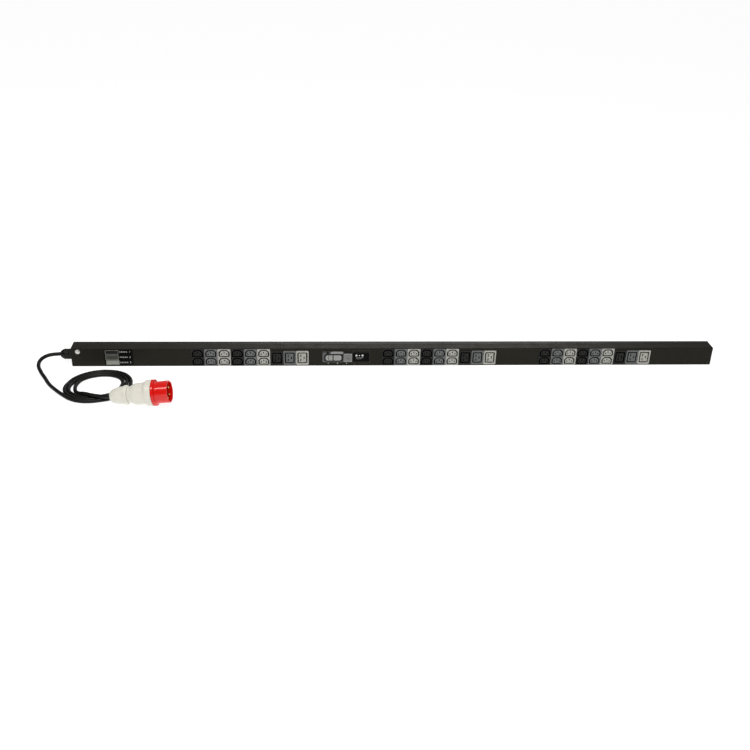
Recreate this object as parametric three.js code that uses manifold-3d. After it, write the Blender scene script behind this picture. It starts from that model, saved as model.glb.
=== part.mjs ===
// Three-phase vertical rack power strip with a meter panel, three banks of
// appliance outlets and a lead that ends in a red five-pin industrial plug.
//
// Units are millimetres. +Z is up. The strip lies on one of its narrow side
// walls, its length runs along X with the lead's gland at the -X end, and the
// outlets face -Y. The origin is under the middle of the strip, on the surface
// that it lies on.
import * as THREE from 'three';
import { mergeVertices } from 'three/addons/utils/BufferGeometryUtils.js';
import Module from 'manifold-3d';

const wasm = await Module();
wasm.setup();

// ---------------------------------------------------------------- dimensions
const LENGTH = 1778; // over both end caps
const FACE_H = 53; // height of the outlet face
const DEPTH = 46; // outlet face to rear wall
const SHEET = 1.2; // steel sheet
const BEND_R = 1.5; // outer bend radius
const GAP = 0.3; // clearance between neighbours
const Y_MIDDLE = 20.9; // middle of the depth, screw head to rear wall

const CAP_T = 2; // end cap plate
const SEAM_FRONT = 26.6; // edge of the front shell's side walls
const SEAM_REAR = 28.4; // where the rear shell's joggle starts
const LAP_END = 15; // how far the rear shell reaches inside the front one
// The long shells are divided at blank places between the outlets.
const FRONT_SPLITS = [-231, 370];
const REAR_SPLITS = [-66];

const BANK_START = [-569.2, -48.9, 390.9]; // left edge of each bank
const C13_PITCH = 35.77; // pitch of the twin outlets
const C19_PITCH = 34.66; // pitch of the large outlets
const BANK_GAP = 0.93; // between the two kinds
const C13_H = 50; // flange height of a twin outlet
const C19_H = 42.6;
const C13_Z = 26.5; // centre heights on the face
const C19_Z = 24.7;
const C13_STACK = 23.8; // spacing of the two outlets of a twin
const FLANGE_T = 1.0;
const FLANGE_Y = -1.3; // front of the flanges; the face is at 0

const GLAND_Y = 23;
const GLAND_Z = 27;
const CORD_D = 10;

const METER = { x0: -212, x1: -130, z0: 11.6, zr: 38.3, z1: 44.6 };
const SCREEN = { x0: -206.4, x1: -155.2, z0: 13.6, z1: 36.2, r: 8 };
const KEY = { x0: -151, x1: -134, z0: 16.4, z1: 34 };
const BUTTON = { x: -197.5, z: 40.5, r: 2.8 };
const LIGHTS_X = [-195.7, -170.3, -145.5];
const LIGHTS_Z = 7.5;

const PEG_HOLES_X = [-777.9, -733.4, 733.4, 777.9];

const PLUG_AT = [-748.5, -205, 19.98]; // middle of the plug's cord entry
const PLUG_YAW = -6; // degrees
const PLUG_PITCH = 8.3;
const PLUG_LEN = 152.8;
const PIN_CIRCLE = 15.5;

// Centreline of the lead: gland to coil, then coil to plug.
const LEAD = [
  [-921.3, 23, 27], [-929.3, 22.1, 26.9], [-946.3, 18.4, 26.6], [-956.3, 12.9, 25.9],
  [-968.3, -2, 22.8], [-971.4, -23.7, 17.4], [-960.2, -49, 10.9], [-944.1, -75.5, 6.6],
  [-922.8, -113.9, 5.1], [-901.6, -141.6, 5.1], [-879.9, -165.7, 5.1],
];
const COIL = { x: -796.5, y: -122.5, r0: 54, r1: 88, h: 10 };
const TAIL = [
  [-800.5, -192.4, 15.4], [-782.3, -198.4, 15.7], [-765.1, -203.7, 17.7],
  [-748.85, -204.97, 19.93],
];

// ------------------------------------------------------------------- helpers
const solid = (geometry) => {
  const g = geometry.clone();
  for (const name of Object.keys(g.attributes)) if (name !== 'position') g.deleteAttribute(name);
  const m = mergeVertices(g, 1e-4);
  const p = m.attributes.position;
  const tri = [];
  let volume = 0;
  const a = new THREE.Vector3(), b = new THREE.Vector3(), c = new THREE.Vector3();
  for (let i = 0; i < m.index.count; i += 3) {
    const [u, v, w] = [m.index.getX(i), m.index.getX(i + 1), m.index.getX(i + 2)];
    if (u === v || v === w || u === w) continue;
    tri.push(u, v, w);
    a.fromBufferAttribute(p, u);
    b.fromBufferAttribute(p, v);
    c.fromBufferAttribute(p, w);
    volume += a.dot(b.cross(c));
  }
  if (volume < 0) for (let i = 0; i < tri.length; i += 3) [tri[i], tri[i + 1]] = [tri[i + 1], tri[i]];
  return new wasm.Manifold(new wasm.Mesh({
    numProp: 3,
    vertProperties: new Float32Array(p.array),
    triVerts: new Uint32Array(tri),
  }));
};

const geometryOf = (manifold) => {
  const mesh = manifold.getMesh();
  const g = new THREE.BufferGeometry();
  g.setAttribute('position', new THREE.BufferAttribute(new Float32Array(mesh.vertProperties), 3));
  g.setIndex(new THREE.BufferAttribute(new Uint32Array(mesh.triVerts), 1));
  g.computeVertexNormals();
  return g;
};

const union = (first, ...rest) => rest.reduce((s, r) => s.add(r), first);
const cut = (first, ...rest) => rest.reduce((s, r) => s.subtract(r), first);

const box = (x0, x1, y0, y1, z0, z1) => solid(
  new THREE.BoxGeometry(x1 - x0, y1 - y0, z1 - z0)
    .translate((x0 + x1) / 2, (y0 + y1) / 2, (z0 + z1) / 2),
);

const shapeOf = (points, holes = []) => {
  const shape = new THREE.Shape(points.map(([u, v]) => new THREE.Vector2(u, v)));
  for (const h of holes) shape.holes.push(new THREE.Path(h.map(([u, v]) => new THREE.Vector2(u, v))));
  return shape;
};

// Outline in X and Z, pushed through from y0 to y1.
const prismY = (points, y0, y1, holes = []) => solid(
  new THREE.ExtrudeGeometry(shapeOf(points, holes), { depth: y1 - y0, bevelEnabled: false })
    .rotateX(Math.PI / 2).translate(0, y1, 0),
);

// Outline in Y and Z, pushed through from x0 to x1.
const AXIS_X = new THREE.Matrix4().makeBasis(
  new THREE.Vector3(0, 1, 0), new THREE.Vector3(0, 0, 1), new THREE.Vector3(1, 0, 0),
);
const prismX = (points, x0, x1, holes = []) => solid(
  new THREE.ExtrudeGeometry(shapeOf(points, holes), { depth: x1 - x0, bevelEnabled: false })
    .applyMatrix4(AXIS_X).translate(x0, 0, 0),
);

// Profile of [distance along, radius], turned about X.
const turnX = (profile, segments, close = true) => {
  const pts = profile.map(([s, r]) => new THREE.Vector2(r, s));
  if (close) pts.push(pts[0].clone());
  return solid(new THREE.LatheGeometry(pts, segments).rotateZ(-Math.PI / 2));
};

const circle = (u, v, r, n, turn = 0) => Array.from({ length: n }, (_, i) => {
  const t = turn + (2 * Math.PI * i) / n;
  return [u + r * Math.cos(t), v + r * Math.sin(t)];
});

const roundedRect = (u0, u1, v0, v1, r, n = 2) => {
  const out = [];
  const corner = (cu, cv, t0) => {
    for (let i = 0; i <= n; i++) {
      const t = t0 + (Math.PI / 2) * (i / n);
      out.push([cu + r * Math.cos(t), cv + r * Math.sin(t)]);
    }
  };
  corner(u1 - r, v0 + r, -Math.PI / 2);
  corner(u1 - r, v1 - r, 0);
  corner(u0 + r, v1 - r, Math.PI / 2);
  corner(u0 + r, v0 + r, Math.PI);
  return out;
};

const rect = (u0, u1, v0, v1) => [[u0, v0], [u1, v0], [u1, v1], [u0, v1]];

const finishes = {
  coat: [0x17181a, 0.55, 0.3],
  cap: [0x141516, 0.6, 0.0],
  black: [0x121314, 0.45, 0.0],
  grey: [0x4b5356, 0.45, 0.0],
  pale: [0x9a9f9f, 0.45, 0.0],
  nylon: [0x0f1011, 0.5, 0.0],
  cord: [0x101011, 0.6, 0.0],
  plug: [0xcdcbc1, 0.45, 0.0],
  red: [0xdc231e, 0.35, 0.0],
  brass: [0xb9923f, 0.3, 1.0],
  steel: [0xc8cacc, 0.3, 1.0],
  label: [0x0c0c0d, 0.3, 0.0],
  screen: [0x1c2024, 0.1, 0.0],
  lcd: [0xa9ada8, 0.3, 0.0],
  board: [0x1f5a33, 0.5, 0.0],
  key: [0x8d9393, 0.45, 0.0],
  light: [0xd8dcd8, 0.2, 0.0],
  loom: [0x2a2a2c, 0.6, 0.0],
  terminal: [0x6e7577, 0.5, 0.0],
};

const strip = new THREE.Group();
strip.position.set(0, -Y_MIDDLE, 0);

const add = (name, manifold, finish, parent = strip) => {
  const [color, roughness, metalness] = finishes[finish];
  const geometry = manifold.isBufferGeometry ? manifold : geometryOf(manifold);
  const mesh = new THREE.Mesh(geometry, new THREE.MeshStandardMaterial({ color, roughness, metalness }));
  mesh.name = name;
  parent.add(mesh);
  return mesh;
};

// -------------------------------------------------------------------- shells
const half = LENGTH / 2;
const shellX = half - CAP_T - GAP;
const arc = (cy, cz, r, t0, t1, n = 3) => Array.from({ length: n + 1 }, (_, i) => {
  const t = THREE.MathUtils.degToRad(t0 + ((t1 - t0) * i) / n);
  return [cy + r * Math.cos(t), cz + r * Math.sin(t)];
});
const innerR = BEND_R - SHEET;

const frontProfile = [
  [SEAM_FRONT, SHEET],
  ...arc(BEND_R, BEND_R, innerR, 270, 180, 1),
  ...arc(BEND_R, FACE_H - BEND_R, innerR, 180, 90, 1),
  [SEAM_FRONT, FACE_H - SHEET],
  [SEAM_FRONT, FACE_H],
  ...arc(BEND_R, FACE_H - BEND_R, BEND_R, 90, 180),
  ...arc(BEND_R, BEND_R, BEND_R, 180, 270),
  [SEAM_FRONT, 0],
];
const lapZ = SHEET + GAP;
const rearHalf = [
  [LAP_END, lapZ + SHEET], [LAP_END, lapZ], [SEAM_FRONT + 0.5, lapZ], [SEAM_REAR, 0],
  ...arc(DEPTH - BEND_R, BEND_R, BEND_R, 270, 360),
];
const rearHalfInner = [
  ...arc(DEPTH - BEND_R, BEND_R, innerR, 360, 270, 1),
  [SEAM_REAR + 0.7, SHEET], [SEAM_FRONT + 1.2, lapZ + SHEET],
];
const mirrorZ = (points) => points.map(([y, z]) => [y, FACE_H - z]).reverse();
const rearProfile = [...rearHalf, ...mirrorZ(rearHalf), ...mirrorZ(rearHalfInner), ...rearHalfInner];

const meterOutline = (inset) => {
  const m = METER, i = inset;
  return [
    [m.x0 + i, m.z0 + i], [m.x1 - i, m.z0 + i], [m.x1 - i, m.zr - i],
    [m.x1 - 21 - i * 0.4, m.zr - i], [m.x1 - 26 - i * 0.6, m.z1 - i], [m.x0 + i, m.z1 - i],
  ];
};

const bankWindows = BANK_START.flatMap((start) => {
  const split = start + 6 * C13_PITCH;
  const end = split + BANK_GAP + 3 * C19_PITCH;
  return [
    box(start + 1.2, split - 1.5, -1, 4, C13_Z - 23.6, C13_Z + 23.6),
    box(split + BANK_GAP + 1.2, end - 1.5, -1, 4, C19_Z - 19.4, C19_Z + 19.4),
  ];
});
const screwX = -870.4, screwZ = 44.5;
const lengths = (splits) => {
  const ends = [-shellX - GAP / 2, ...splits, shellX + GAP / 2];
  return splits.concat(0).map((_, i) => [ends[i] + GAP / 2, ends[i + 1] - GAP / 2]);
};
const frontHoles = [
  ...bankWindows,
  prismY(meterOutline(1), -1, 4),
  prismY(circle(screwX, screwZ, 2.7, 12), -1, 4),
  ...LIGHTS_X.map((x) => prismY(circle(x, LIGHTS_Z, 1.9, 8, Math.PI / 8), -1, 4)),
];
lengths(FRONT_SPLITS).forEach(([x0, x1], i) => {
  const side = ['left', 'middle', 'right'][i];
  add(`front_shell_${side}`, cut(prismX(frontProfile, x0, x1), ...frontHoles), 'coat');
});
const pegHoles = PEG_HOLES_X.map((x) => prismY(circle(x, FACE_H / 2, 2.6, 12), DEPTH - 4, DEPTH + 1));
lengths(REAR_SPLITS).forEach(([x0, x1], i) => {
  const side = ['left', 'right'][i];
  add(`rear_shell_${side}`, cut(prismX(rearProfile, x0, x1), ...pegHoles), 'coat');
});

const capOutline = roundedRect(0, DEPTH, 0, FACE_H, BEND_R, 3);
const lipOuter = rect(1.6, 44.4, lapZ + SHEET + 0.4, FACE_H - lapZ - SHEET - 0.4);
const lipInner = rect(3.1, 42.9, lapZ + SHEET + 1.9, FACE_H - lapZ - SHEET - 1.9);
const cap = (side) => {
  const [a, b] = side < 0 ? [-half, -half + CAP_T] : [half - CAP_T, half];
  const [c, d] = side < 0 ? [b - 0.5, b + 8] : [a - 8, a + 0.5];
  return union(prismX(capOutline, a, b), prismX(lipOuter, c, d, [lipInner]));
};
add('end_cap_left', cut(cap(-1), prismX(circle(GLAND_Y, GLAND_Z, 12.5, 20), -half - 1, -half + 4)), 'cap');
add('end_cap_right', cap(1), 'cap');

// --------------------------------------------------------------------- gland
const atGland = (manifold) => manifold.translate([0, GLAND_Y, GLAND_Z]);
const hex = (af, x0, x1, holes = []) => prismX(circle(0, 0, af / 2 / Math.cos(Math.PI / 6), 6), x0, x1, holes);
add('gland_body', atGland(cut(
  union(
    hex(28, -half - 8.3, -half - GAP),
    turnX([[-half - 19, 0], [-half - 19, 10.6], [-half - 4, 10.6], [-half - 4, 12.1], [-half + 9.5, 12.1], [-half + 9.5, 0]], 20, false),
  ),
  turnX([[-half - 20, 0], [-half - 20, 5.6], [-half + 11, 5.6], [-half + 11, 0]], 16, false),
)), 'nylon');
const nutEnd = -half - 32;
add('gland_dome_nut', atGland(turnX([
  [nutEnd, 5.6], [nutEnd, 7.4], [nutEnd + 2, 9.6], [nutEnd + 6, 12.4], [nutEnd + 11, 14.5],
  [nutEnd + 15, 15.2], [nutEnd + 22, 15.2], [nutEnd + 23, 14.6], [nutEnd + 23, 11],
  [nutEnd + 11, 11], [nutEnd + 9, 5.6],
], 20)), 'nylon');
add('gland_locknut', atGland(hex(30, -half + CAP_T + GAP, -half + CAP_T + GAP + 5, [circle(0, 0, 12.5, 20)])), 'nylon');

// ---------------------------------------------------------------------- lead
// Evenly spaced eight- to ten-sided rings along a smooth curve.
const lead = (points, sides, steps) => {
  const curve = new THREE.CatmullRomCurve3(points.map((p) => new THREE.Vector3(...p)), false, 'centripetal');
  const ring = shapeOf(circle(0, 0, CORD_D / 2, sides));
  return geometryOf(solid(new THREE.ExtrudeGeometry(ring, { steps, extrudePath: curve, bevelEnabled: false })));
};
const floorGroup = new THREE.Group(); // pieces on the lead
strip.add(floorGroup);
add('power_cord_lead', lead(LEAD, 10, 18), 'cord', floorGroup);
const coil = add('power_cord_coil', solid(new THREE.LatheGeometry([
  [COIL.r0, 1.5], [COIL.r0 + 1.5, 0], [COIL.r1 - 1.5, 0], [COIL.r1, 1.5], [COIL.r1, COIL.h - 1.5],
  [COIL.r1 - 1.5, COIL.h], [COIL.r0 + 1.5, COIL.h], [COIL.r0, COIL.h - 1.5], [COIL.r0, 1.5],
].map(([r, z]) => new THREE.Vector2(r, z)), 32).rotateX(Math.PI / 2)), 'cord', floorGroup);
coil.position.set(COIL.x, COIL.y, 0);
add('power_cord_tail', lead(TAIL, 10, 6), 'cord', floorGroup);

// ---------------------------------------------------------------------- plug
const plug = new THREE.Group();
plug.rotation.set(0, 0, 0);
plug.rotateZ(THREE.MathUtils.degToRad(PLUG_YAW));
plug.rotateY(THREE.MathUtils.degToRad(-PLUG_PITCH));
plug.position.set(...PLUG_AT);
floorGroup.add(plug);
add('plug_clamp_nut', turnX([
  [0, 5.4], [0, 12], [2, 14.6], [7, 17.8], [14, 20.6], [24, 22.4], [36, 23.4], [38, 25], [45, 25],
  [47, 22.6], [47, 15], [10, 15], [8, 5.4],
], 24), 'plug', plug);
add('plug_body', turnX([
  [30, 11.5], [30, 14.6], [47.4, 14.6], [47.4, 21.2], [54, 22.2], [60, 25.2], [66, 27.8], [88, 28.8],
  [97, 34.1], [111.3, 34.1], [111.3, 25], [93, 23], [66, 22], [60, 11.5],
], 24), 'plug', plug);
const rib = (y, z) => box(111.6, PLUG_LEN - 2, y - 2.4, y + 2.4, z - 1.6, z + 1.6);
add('plug_shroud', union(
  turnX([
    [111.6, 24.9], [111.6, 33.5], [118.8, 33.5], [120.1, 27.6], [PLUG_LEN, 28.2], [PLUG_LEN, 25.4], [120.1, 24.9],
  ], 24),
  rib(0, 27.8).rotate([-70, 0, 0]),
  box(112.1, 117.9, -4, 4, 31, 35.8), // lug that the mating socket's lid catches on
  box(112.1, 117.9, -4, 4, -34.3, -31),
), 'red', plug);
const pinAngles = [0, 72, 144, 216, 288].map((a) => a - 70 + 90);
const pinRadius = (i) => (i === 0 ? 3.5 : 2.5);
const pinAt = (i) => {
  const t = THREE.MathUtils.degToRad(pinAngles[i]);
  return [PIN_CIRCLE * Math.cos(t), PIN_CIRCLE * Math.sin(t)];
};
add('plug_pin_carrier', prismX(
  circle(0, 0, 24.5, 24), 112.1, 121,
  pinAngles.map((_, i) => circle(...pinAt(i), pinRadius(i) + 0.4, 8)),
), 'terminal', plug);
['earth', 'line_1', 'line_2', 'line_3', 'neutral'].forEach((use, i) => {
  const r = pinRadius(i);
  const pin = add(`plug_pin_${use}`, turnX([
    [103.5, 0], [103.5, r], [PLUG_LEN - 6, r], [PLUG_LEN - 4.6, r * 0.55], [PLUG_LEN - 4.6, 0],
  ], 8, false), 'brass', plug);
  pin.position.set(0, ...pinAt(i));
});

// ------------------------------------------------------------------- outlets
// Twin outlet: two openings, one above the other, each a deep groove round an
// island. The two upper corners of an opening are cut off.
const c13Outline = (w, h, chamfer, z) => [
  [-w, z - h], [w, z - h], [w, z + h - chamfer], [w - chamfer, z + h], [-w + chamfer, z + h], [-w, z + h - chamfer],
];
const c13Parts = () => {
  const w = C13_PITCH / 2 - GAP / 2;
  const body = union(
    box(-w, w, FLANGE_Y, FLANGE_Y + FLANGE_T, C13_Z - C13_H / 2, C13_Z + C13_H / 2),
    box(-16.2, 16.2, FLANGE_Y + 0.3, 17, C13_Z - 23.3, C13_Z + 23.3),
  );
  return geometryOf(cut(body, ...[-1, 1].map((k) => {
    const z = C13_Z + (k * C13_STACK) / 2;
    return prismY(c13Outline(15, 10.9, 2.8, z), FLANGE_Y - 1, 15.2, [c13Outline(11.4, 7.4, 2.2, z)]);
  })));
};
// Large outlet: one upright opening, a groove round an island.
const c19Parts = () => {
  const w = C19_PITCH / 2 - GAP / 2, z = C19_Z;
  const body = union(
    box(-w, w, FLANGE_Y, FLANGE_Y + FLANGE_T, z - C19_H / 2, z + C19_H / 2),
    box(-15.5, 15.5, FLANGE_Y + 0.3, 17.6, z - 19, z + 19),
  );
  return geometryOf(cut(
    body,
    prismY(rect(-13.6, 13.6, z - 16.4, z + 16.4), FLANGE_Y - 1, 16, [rect(-10.1, 10.1, z - 12.9, z + 12.9)]),
  ));
};
const c13 = c13Parts();
const c19 = c19Parts();
const phases = ['black', 'grey', 'pale'];
BANK_START.forEach((start, bank) => {
  for (let i = 0; i < 6; i++) {
    const twin = add(`bank${bank + 1}_c13_twin_${i + 1}`, c13, phases[i % 3]);
    twin.position.x = start + (i + 0.5) * C13_PITCH;
  }
  for (let i = 0; i < 3; i++) {
    const large = add(`bank${bank + 1}_c19_${i + 1}`, c19, phases[i]);
    large.position.x = start + 6 * C13_PITCH + BANK_GAP + (i + 0.5) * C19_PITCH;
  }
});

// --------------------------------------------------------------- meter panel
const grow = (o, d) => ({ ...o, x0: o.x0 - d, x1: o.x1 + d, z0: o.z0 - d, z1: o.z1 + d });
const screenOutline = (d) => {
  const s = grow(SCREEN, d);
  return roundedRect(s.x0, s.x1, s.z0, s.z1, SCREEN.r + d, 4);
};
const keyOutline = (d) => {
  const k = grow(KEY, d);
  return roundedRect(k.x0, k.x1, k.z0, k.z1, 1.5 + Math.max(d, 0), 1);
};
add('meter_bezel', prismY(meterOutline(0), -2.3, -GAP, [
  screenOutline(0.3), keyOutline(0.4), circle(BUTTON.x, BUTTON.z, BUTTON.r + 0.4, 12),
]), 'pale');
add('meter_window', prismY(screenOutline(0), -2, -0.4), 'screen');
add('meter_display', box(SCREEN.x0 + 2, SCREEN.x1 - 2, 0.2, 3.6, SCREEN.z0 + 2.4, SCREEN.z1 - 2.4), 'lcd');
add('meter_board', box(METER.x0 + 3, METER.x1 - 3, 6, 7.6, METER.z0 + 2.5, METER.z1 - 1), 'board');
add('select_key', union(
  prismY(keyOutline(0), -3, 1.4),
  prismY(rect(KEY.x0 - 0.9, KEY.x1 + 0.9, KEY.z0 - 0.9, KEY.z1 + 0.9), 0.3, 1.5),
  prismY(circle((KEY.x0 + KEY.x1) / 2, (KEY.z0 + KEY.z1) / 2, 1.5, 8), 1, 4.8),
), 'key');
add('round_button', union(
  prismY(circle(BUTTON.x, BUTTON.z, BUTTON.r, 16), -3.2, 1.4),
  prismY(rect(BUTTON.x - 3.6, BUTTON.x + 3.6, BUTTON.z - 3.6, BUTTON.z + 2.7), 0.3, 1.5),
  prismY(circle(BUTTON.x, BUTTON.z, 1.2, 8), 1, 4.8),
), 'black');
add('indicator_light_guide', union(
  box(LIGHTS_X[0] - 4, LIGHTS_X[2] + 4, 1.6, 4.2, LIGHTS_Z - 2.2, LIGHTS_Z + 1.6),
  ...LIGHTS_X.map((x) => prismY(circle(x, LIGHTS_Z, 1.5, 8, Math.PI / 8), -0.7, 2)),
), 'light');

// ------------------------------------------------------ labels, earth screw
add('phase_legend_label', box(-801, -725, -0.6, -GAP, 3.6, 50.4), 'label');
add('name_label', box(-128.5, -83, -0.7, -GAP, 14, 39.4), 'label');
add('ground_washer', prismY(circle(screwX, screwZ, 6.5, 20), -1.3, -GAP, [circle(screwX, screwZ, 2.8, 12)]), 'steel');
add('ground_screw', cut(
  union(
    prismY(circle(screwX, screwZ, 4.8, 16), -3.6, -1.6),
    prismY(circle(screwX, screwZ, 3.6, 16), -4.2, -3),
    prismY(circle(screwX, screwZ, 2.4, 10), -2, 10),
  ),
  box(screwX - 2.6, screwX + 2.6, -5, -2.6, screwZ - 0.5, screwZ + 0.5),
  box(screwX - 0.5, screwX + 0.5, -5, -2.6, screwZ - 2.6, screwZ + 2.6),
), 'steel');

export default strip;
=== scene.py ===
import math

import bmesh
import bpy
from mathutils import Matrix, Vector, geometry


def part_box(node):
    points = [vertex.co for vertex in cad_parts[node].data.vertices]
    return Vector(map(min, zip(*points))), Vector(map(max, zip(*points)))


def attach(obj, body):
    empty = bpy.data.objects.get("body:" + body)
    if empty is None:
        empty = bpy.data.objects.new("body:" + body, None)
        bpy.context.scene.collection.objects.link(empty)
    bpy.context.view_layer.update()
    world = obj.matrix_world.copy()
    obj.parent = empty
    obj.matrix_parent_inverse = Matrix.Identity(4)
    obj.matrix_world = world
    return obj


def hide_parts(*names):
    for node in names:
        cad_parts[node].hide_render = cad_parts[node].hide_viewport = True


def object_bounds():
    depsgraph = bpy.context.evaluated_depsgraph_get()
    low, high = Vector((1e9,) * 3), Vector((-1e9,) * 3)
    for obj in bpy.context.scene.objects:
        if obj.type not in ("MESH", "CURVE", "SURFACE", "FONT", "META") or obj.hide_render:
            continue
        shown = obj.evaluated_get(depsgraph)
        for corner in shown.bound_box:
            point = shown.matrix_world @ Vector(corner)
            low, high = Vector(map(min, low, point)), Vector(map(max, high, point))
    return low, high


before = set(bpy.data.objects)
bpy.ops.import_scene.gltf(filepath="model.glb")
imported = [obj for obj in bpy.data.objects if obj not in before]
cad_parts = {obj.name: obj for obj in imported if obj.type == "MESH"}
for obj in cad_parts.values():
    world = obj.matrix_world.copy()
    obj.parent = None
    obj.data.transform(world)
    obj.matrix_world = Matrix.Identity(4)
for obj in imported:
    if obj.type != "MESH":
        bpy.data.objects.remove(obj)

CAD_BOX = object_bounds()

MM = 0.001
FACE_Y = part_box("front_shell_left")[0][1]  # the outlet face
FLOOR_Z = CAD_BOX[0][2]


def at(x, y, z):
    """A point given in mm from the outlet face, in the row frame."""
    return Vector((x * MM, y * MM + FACE_Y, z * MM + FLOOR_Z))


# --------------------------------------------------------------------------- camera
scene = bpy.context.scene
YAW, PITCH, ROLL = -0.08158962, 0.48220588, 0.03437974
cam_data = bpy.data.cameras.new("camera")
cam_data.sensor_fit = "HORIZONTAL"
cam_data.sensor_width = 36.0
cam_data.lens = 950.2427 * 36.0 / 750.0
cam_data.clip_start, cam_data.clip_end = 0.05, 100.0
cam_data.dof.use_dof = False
camera = bpy.data.objects.new("camera", cam_data)
scene.collection.objects.link(camera)
_f = Vector((-math.sin(YAW) * math.cos(PITCH), math.cos(YAW) * math.cos(PITCH), -math.sin(PITCH)))
_r = Vector((math.cos(YAW), math.sin(YAW), 0))
_u = _r.cross(_f)
_r2 = math.cos(ROLL) * _r + math.sin(ROLL) * _u
_u2 = -math.sin(ROLL) * _r + math.cos(ROLL) * _u
camera.matrix_world = Matrix((
    (_r2.x, _u2.x, -_f.x, -0.25671),
    (_r2.y, _u2.y, -_f.y, -2.36115),
    (_r2.z, _u2.z, -_f.z, 1.19962),
    (0, 0, 0, 1),
))
scene.camera = camera


# --------------------------------------------------------------------------- materials
def srgb(r, g, b):
    """Linear colour of an 8-bit sRGB one."""
    def lin(c):
        c /= 255
        return c / 12.92 if c <= 0.04045 else ((c + 0.055) / 1.055) ** 2.4
    return (lin(r), lin(g), lin(b), 1.0)


def shade(colour, k):
    return (colour[0] * k, colour[1] * k, colour[2] * k, 1.0)


class Mat:
    """A Principled material with its nodes kept handy."""

    def __init__(self, name, base, rough, metal=0.0, **sockets):
        self.m = bpy.data.materials.new(name)
        self.m.use_nodes = True
        self.t = self.m.node_tree
        self.p = self.t.nodes["Principled BSDF"]
        self.p.inputs["Base Color"].default_value = base
        self.p.inputs["Roughness"].default_value = rough
        self.p.inputs["Metallic"].default_value = metal
        for k, v in sockets.items():
            self.p.inputs[k].default_value = v
        self.m.diffuse_color = base
        self.base, self.rough = base, rough
        self.coord = self.t.nodes.new("ShaderNodeTexCoord")
        self.normal = None

    def node(self, kind, **values):
        n = self.t.nodes.new(kind)
        for k, v in values.items():
            setattr(n, k, v)
        return n

    def link(self, a, b):
        self.t.links.new(a, b)

    def noise(self, scale, detail=3.0, rough=0.55, stretch=None, distortion=0.0):
        n = self.node("ShaderNodeTexNoise")
        n.inputs["Scale"].default_value = scale
        n.inputs["Detail"].default_value = detail
        n.inputs["Roughness"].default_value = rough
        n.inputs["Distortion"].default_value = distortion
        if stretch:
            m = self.node("ShaderNodeMapping")
            m.inputs["Scale"].default_value = stretch
            self.link(self.coord.outputs["Object"], m.inputs["Vector"])
            self.link(m.outputs["Vector"], n.inputs["Vector"])
        else:
            self.link(self.coord.outputs["Object"], n.inputs["Vector"])
        return n

    def ramp(self, source, lo, hi, a, b):
        r = self.node("ShaderNodeMapRange")
        r.inputs["From Min"].default_value = lo
        r.inputs["From Max"].default_value = hi
        r.inputs["To Min"].default_value = a
        r.inputs["To Max"].default_value = b
        self.link(source, r.inputs["Value"])
        return r.outputs["Result"]

    def mix(self, factor, a, b, blend="MIX"):
        x = self.node("ShaderNodeMix", data_type="RGBA", blend_type=blend)
        self.link(factor, x.inputs["Factor"]) if not isinstance(factor, float) else setattr(x.inputs["Factor"], "default_value", factor)
        for v, k in ((a, 6), (b, 7)):
            if isinstance(v, tuple):
                x.inputs[k].default_value = v
            else:
                self.link(v, x.inputs[k])
        return x.outputs[2]

    def colour(self, out):
        self.link(out, self.p.inputs["Base Color"])
        return out

    def roughness(self, out):
        self.link(out, self.p.inputs["Roughness"])

    def bump(self, height, strength, distance):
        b = self.node("ShaderNodeBump")
        b.inputs["Strength"].default_value = strength
        b.inputs["Distance"].default_value = distance
        self.link(height, b.inputs["Height"])
        if self.normal is not None:
            self.link(self.normal, b.inputs["Normal"])
        self.normal = b.outputs["Normal"]
        self.link(self.normal, self.p.inputs["Normal"])


def varied(mat, amount, scale, detail=2.0):
    """Slow lighter and darker patches over the base colour."""
    n = mat.noise(scale, detail)
    f = mat.ramp(n.outputs["Fac"], 0.3, 0.7, 0.0, 1.0)
    return mat.colour(mat.mix(f, shade(mat.base, 1 - amount), shade(mat.base, 1 + amount)))


def powder_coat(name, base, rough=0.52):
    m = Mat(name, base, rough, **{"Specular IOR Level": 0.14, "Specular Tint": (1.0, 0.985, 0.84, 1.0)})
    slow = m.noise(5.0, 3.0)
    f = m.ramp(slow.outputs["Fac"], 0.32, 0.68, 0.0, 1.0)
    body = m.mix(f, shade(base, 0.9), shade(base, 1.12))
    # a few dust specks
    dust = m.noise(900.0, 2.0)
    d = m.ramp(dust.outputs["Fac"], 0.71, 0.78, 0.0, 0.35)
    m.colour(m.mix(d, body, shade(base, 3.0)))
    r = m.noise(38.0, 4.0)
    m.roughness(m.ramp(r.outputs["Fac"], 0.3, 0.7, rough - 0.05, rough + 0.06))
    peel = m.noise(620.0, 2.0)
    m.bump(peel.outputs["Fac"], 0.35, 0.00022)
    grain = m.noise(2600.0, 2.0)
    m.bump(grain.outputs["Fac"], 0.3, 0.00006)
    return m.m


def moulded(name, base, rough=0.42, spark=1900.0, strength=0.22, vary=0.04, shine=0.25):
    """Injection moulded plastic with a fine spark-eroded texture."""
    m = Mat(name, base, rough, **{"Specular IOR Level": shine})
    varied(m, vary, 60.0)
    r = m.noise(120.0, 3.0)
    m.roughness(m.ramp(r.outputs["Fac"], 0.3, 0.7, rough - 0.05, rough + 0.05))
    g = m.noise(spark, 2.0)
    m.bump(g.outputs["Fac"], strength, 0.00006)
    flow = m.noise(90.0, 1.0)
    m.bump(flow.outputs["Fac"], 0.12, 0.0004)
    return m.m


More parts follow.
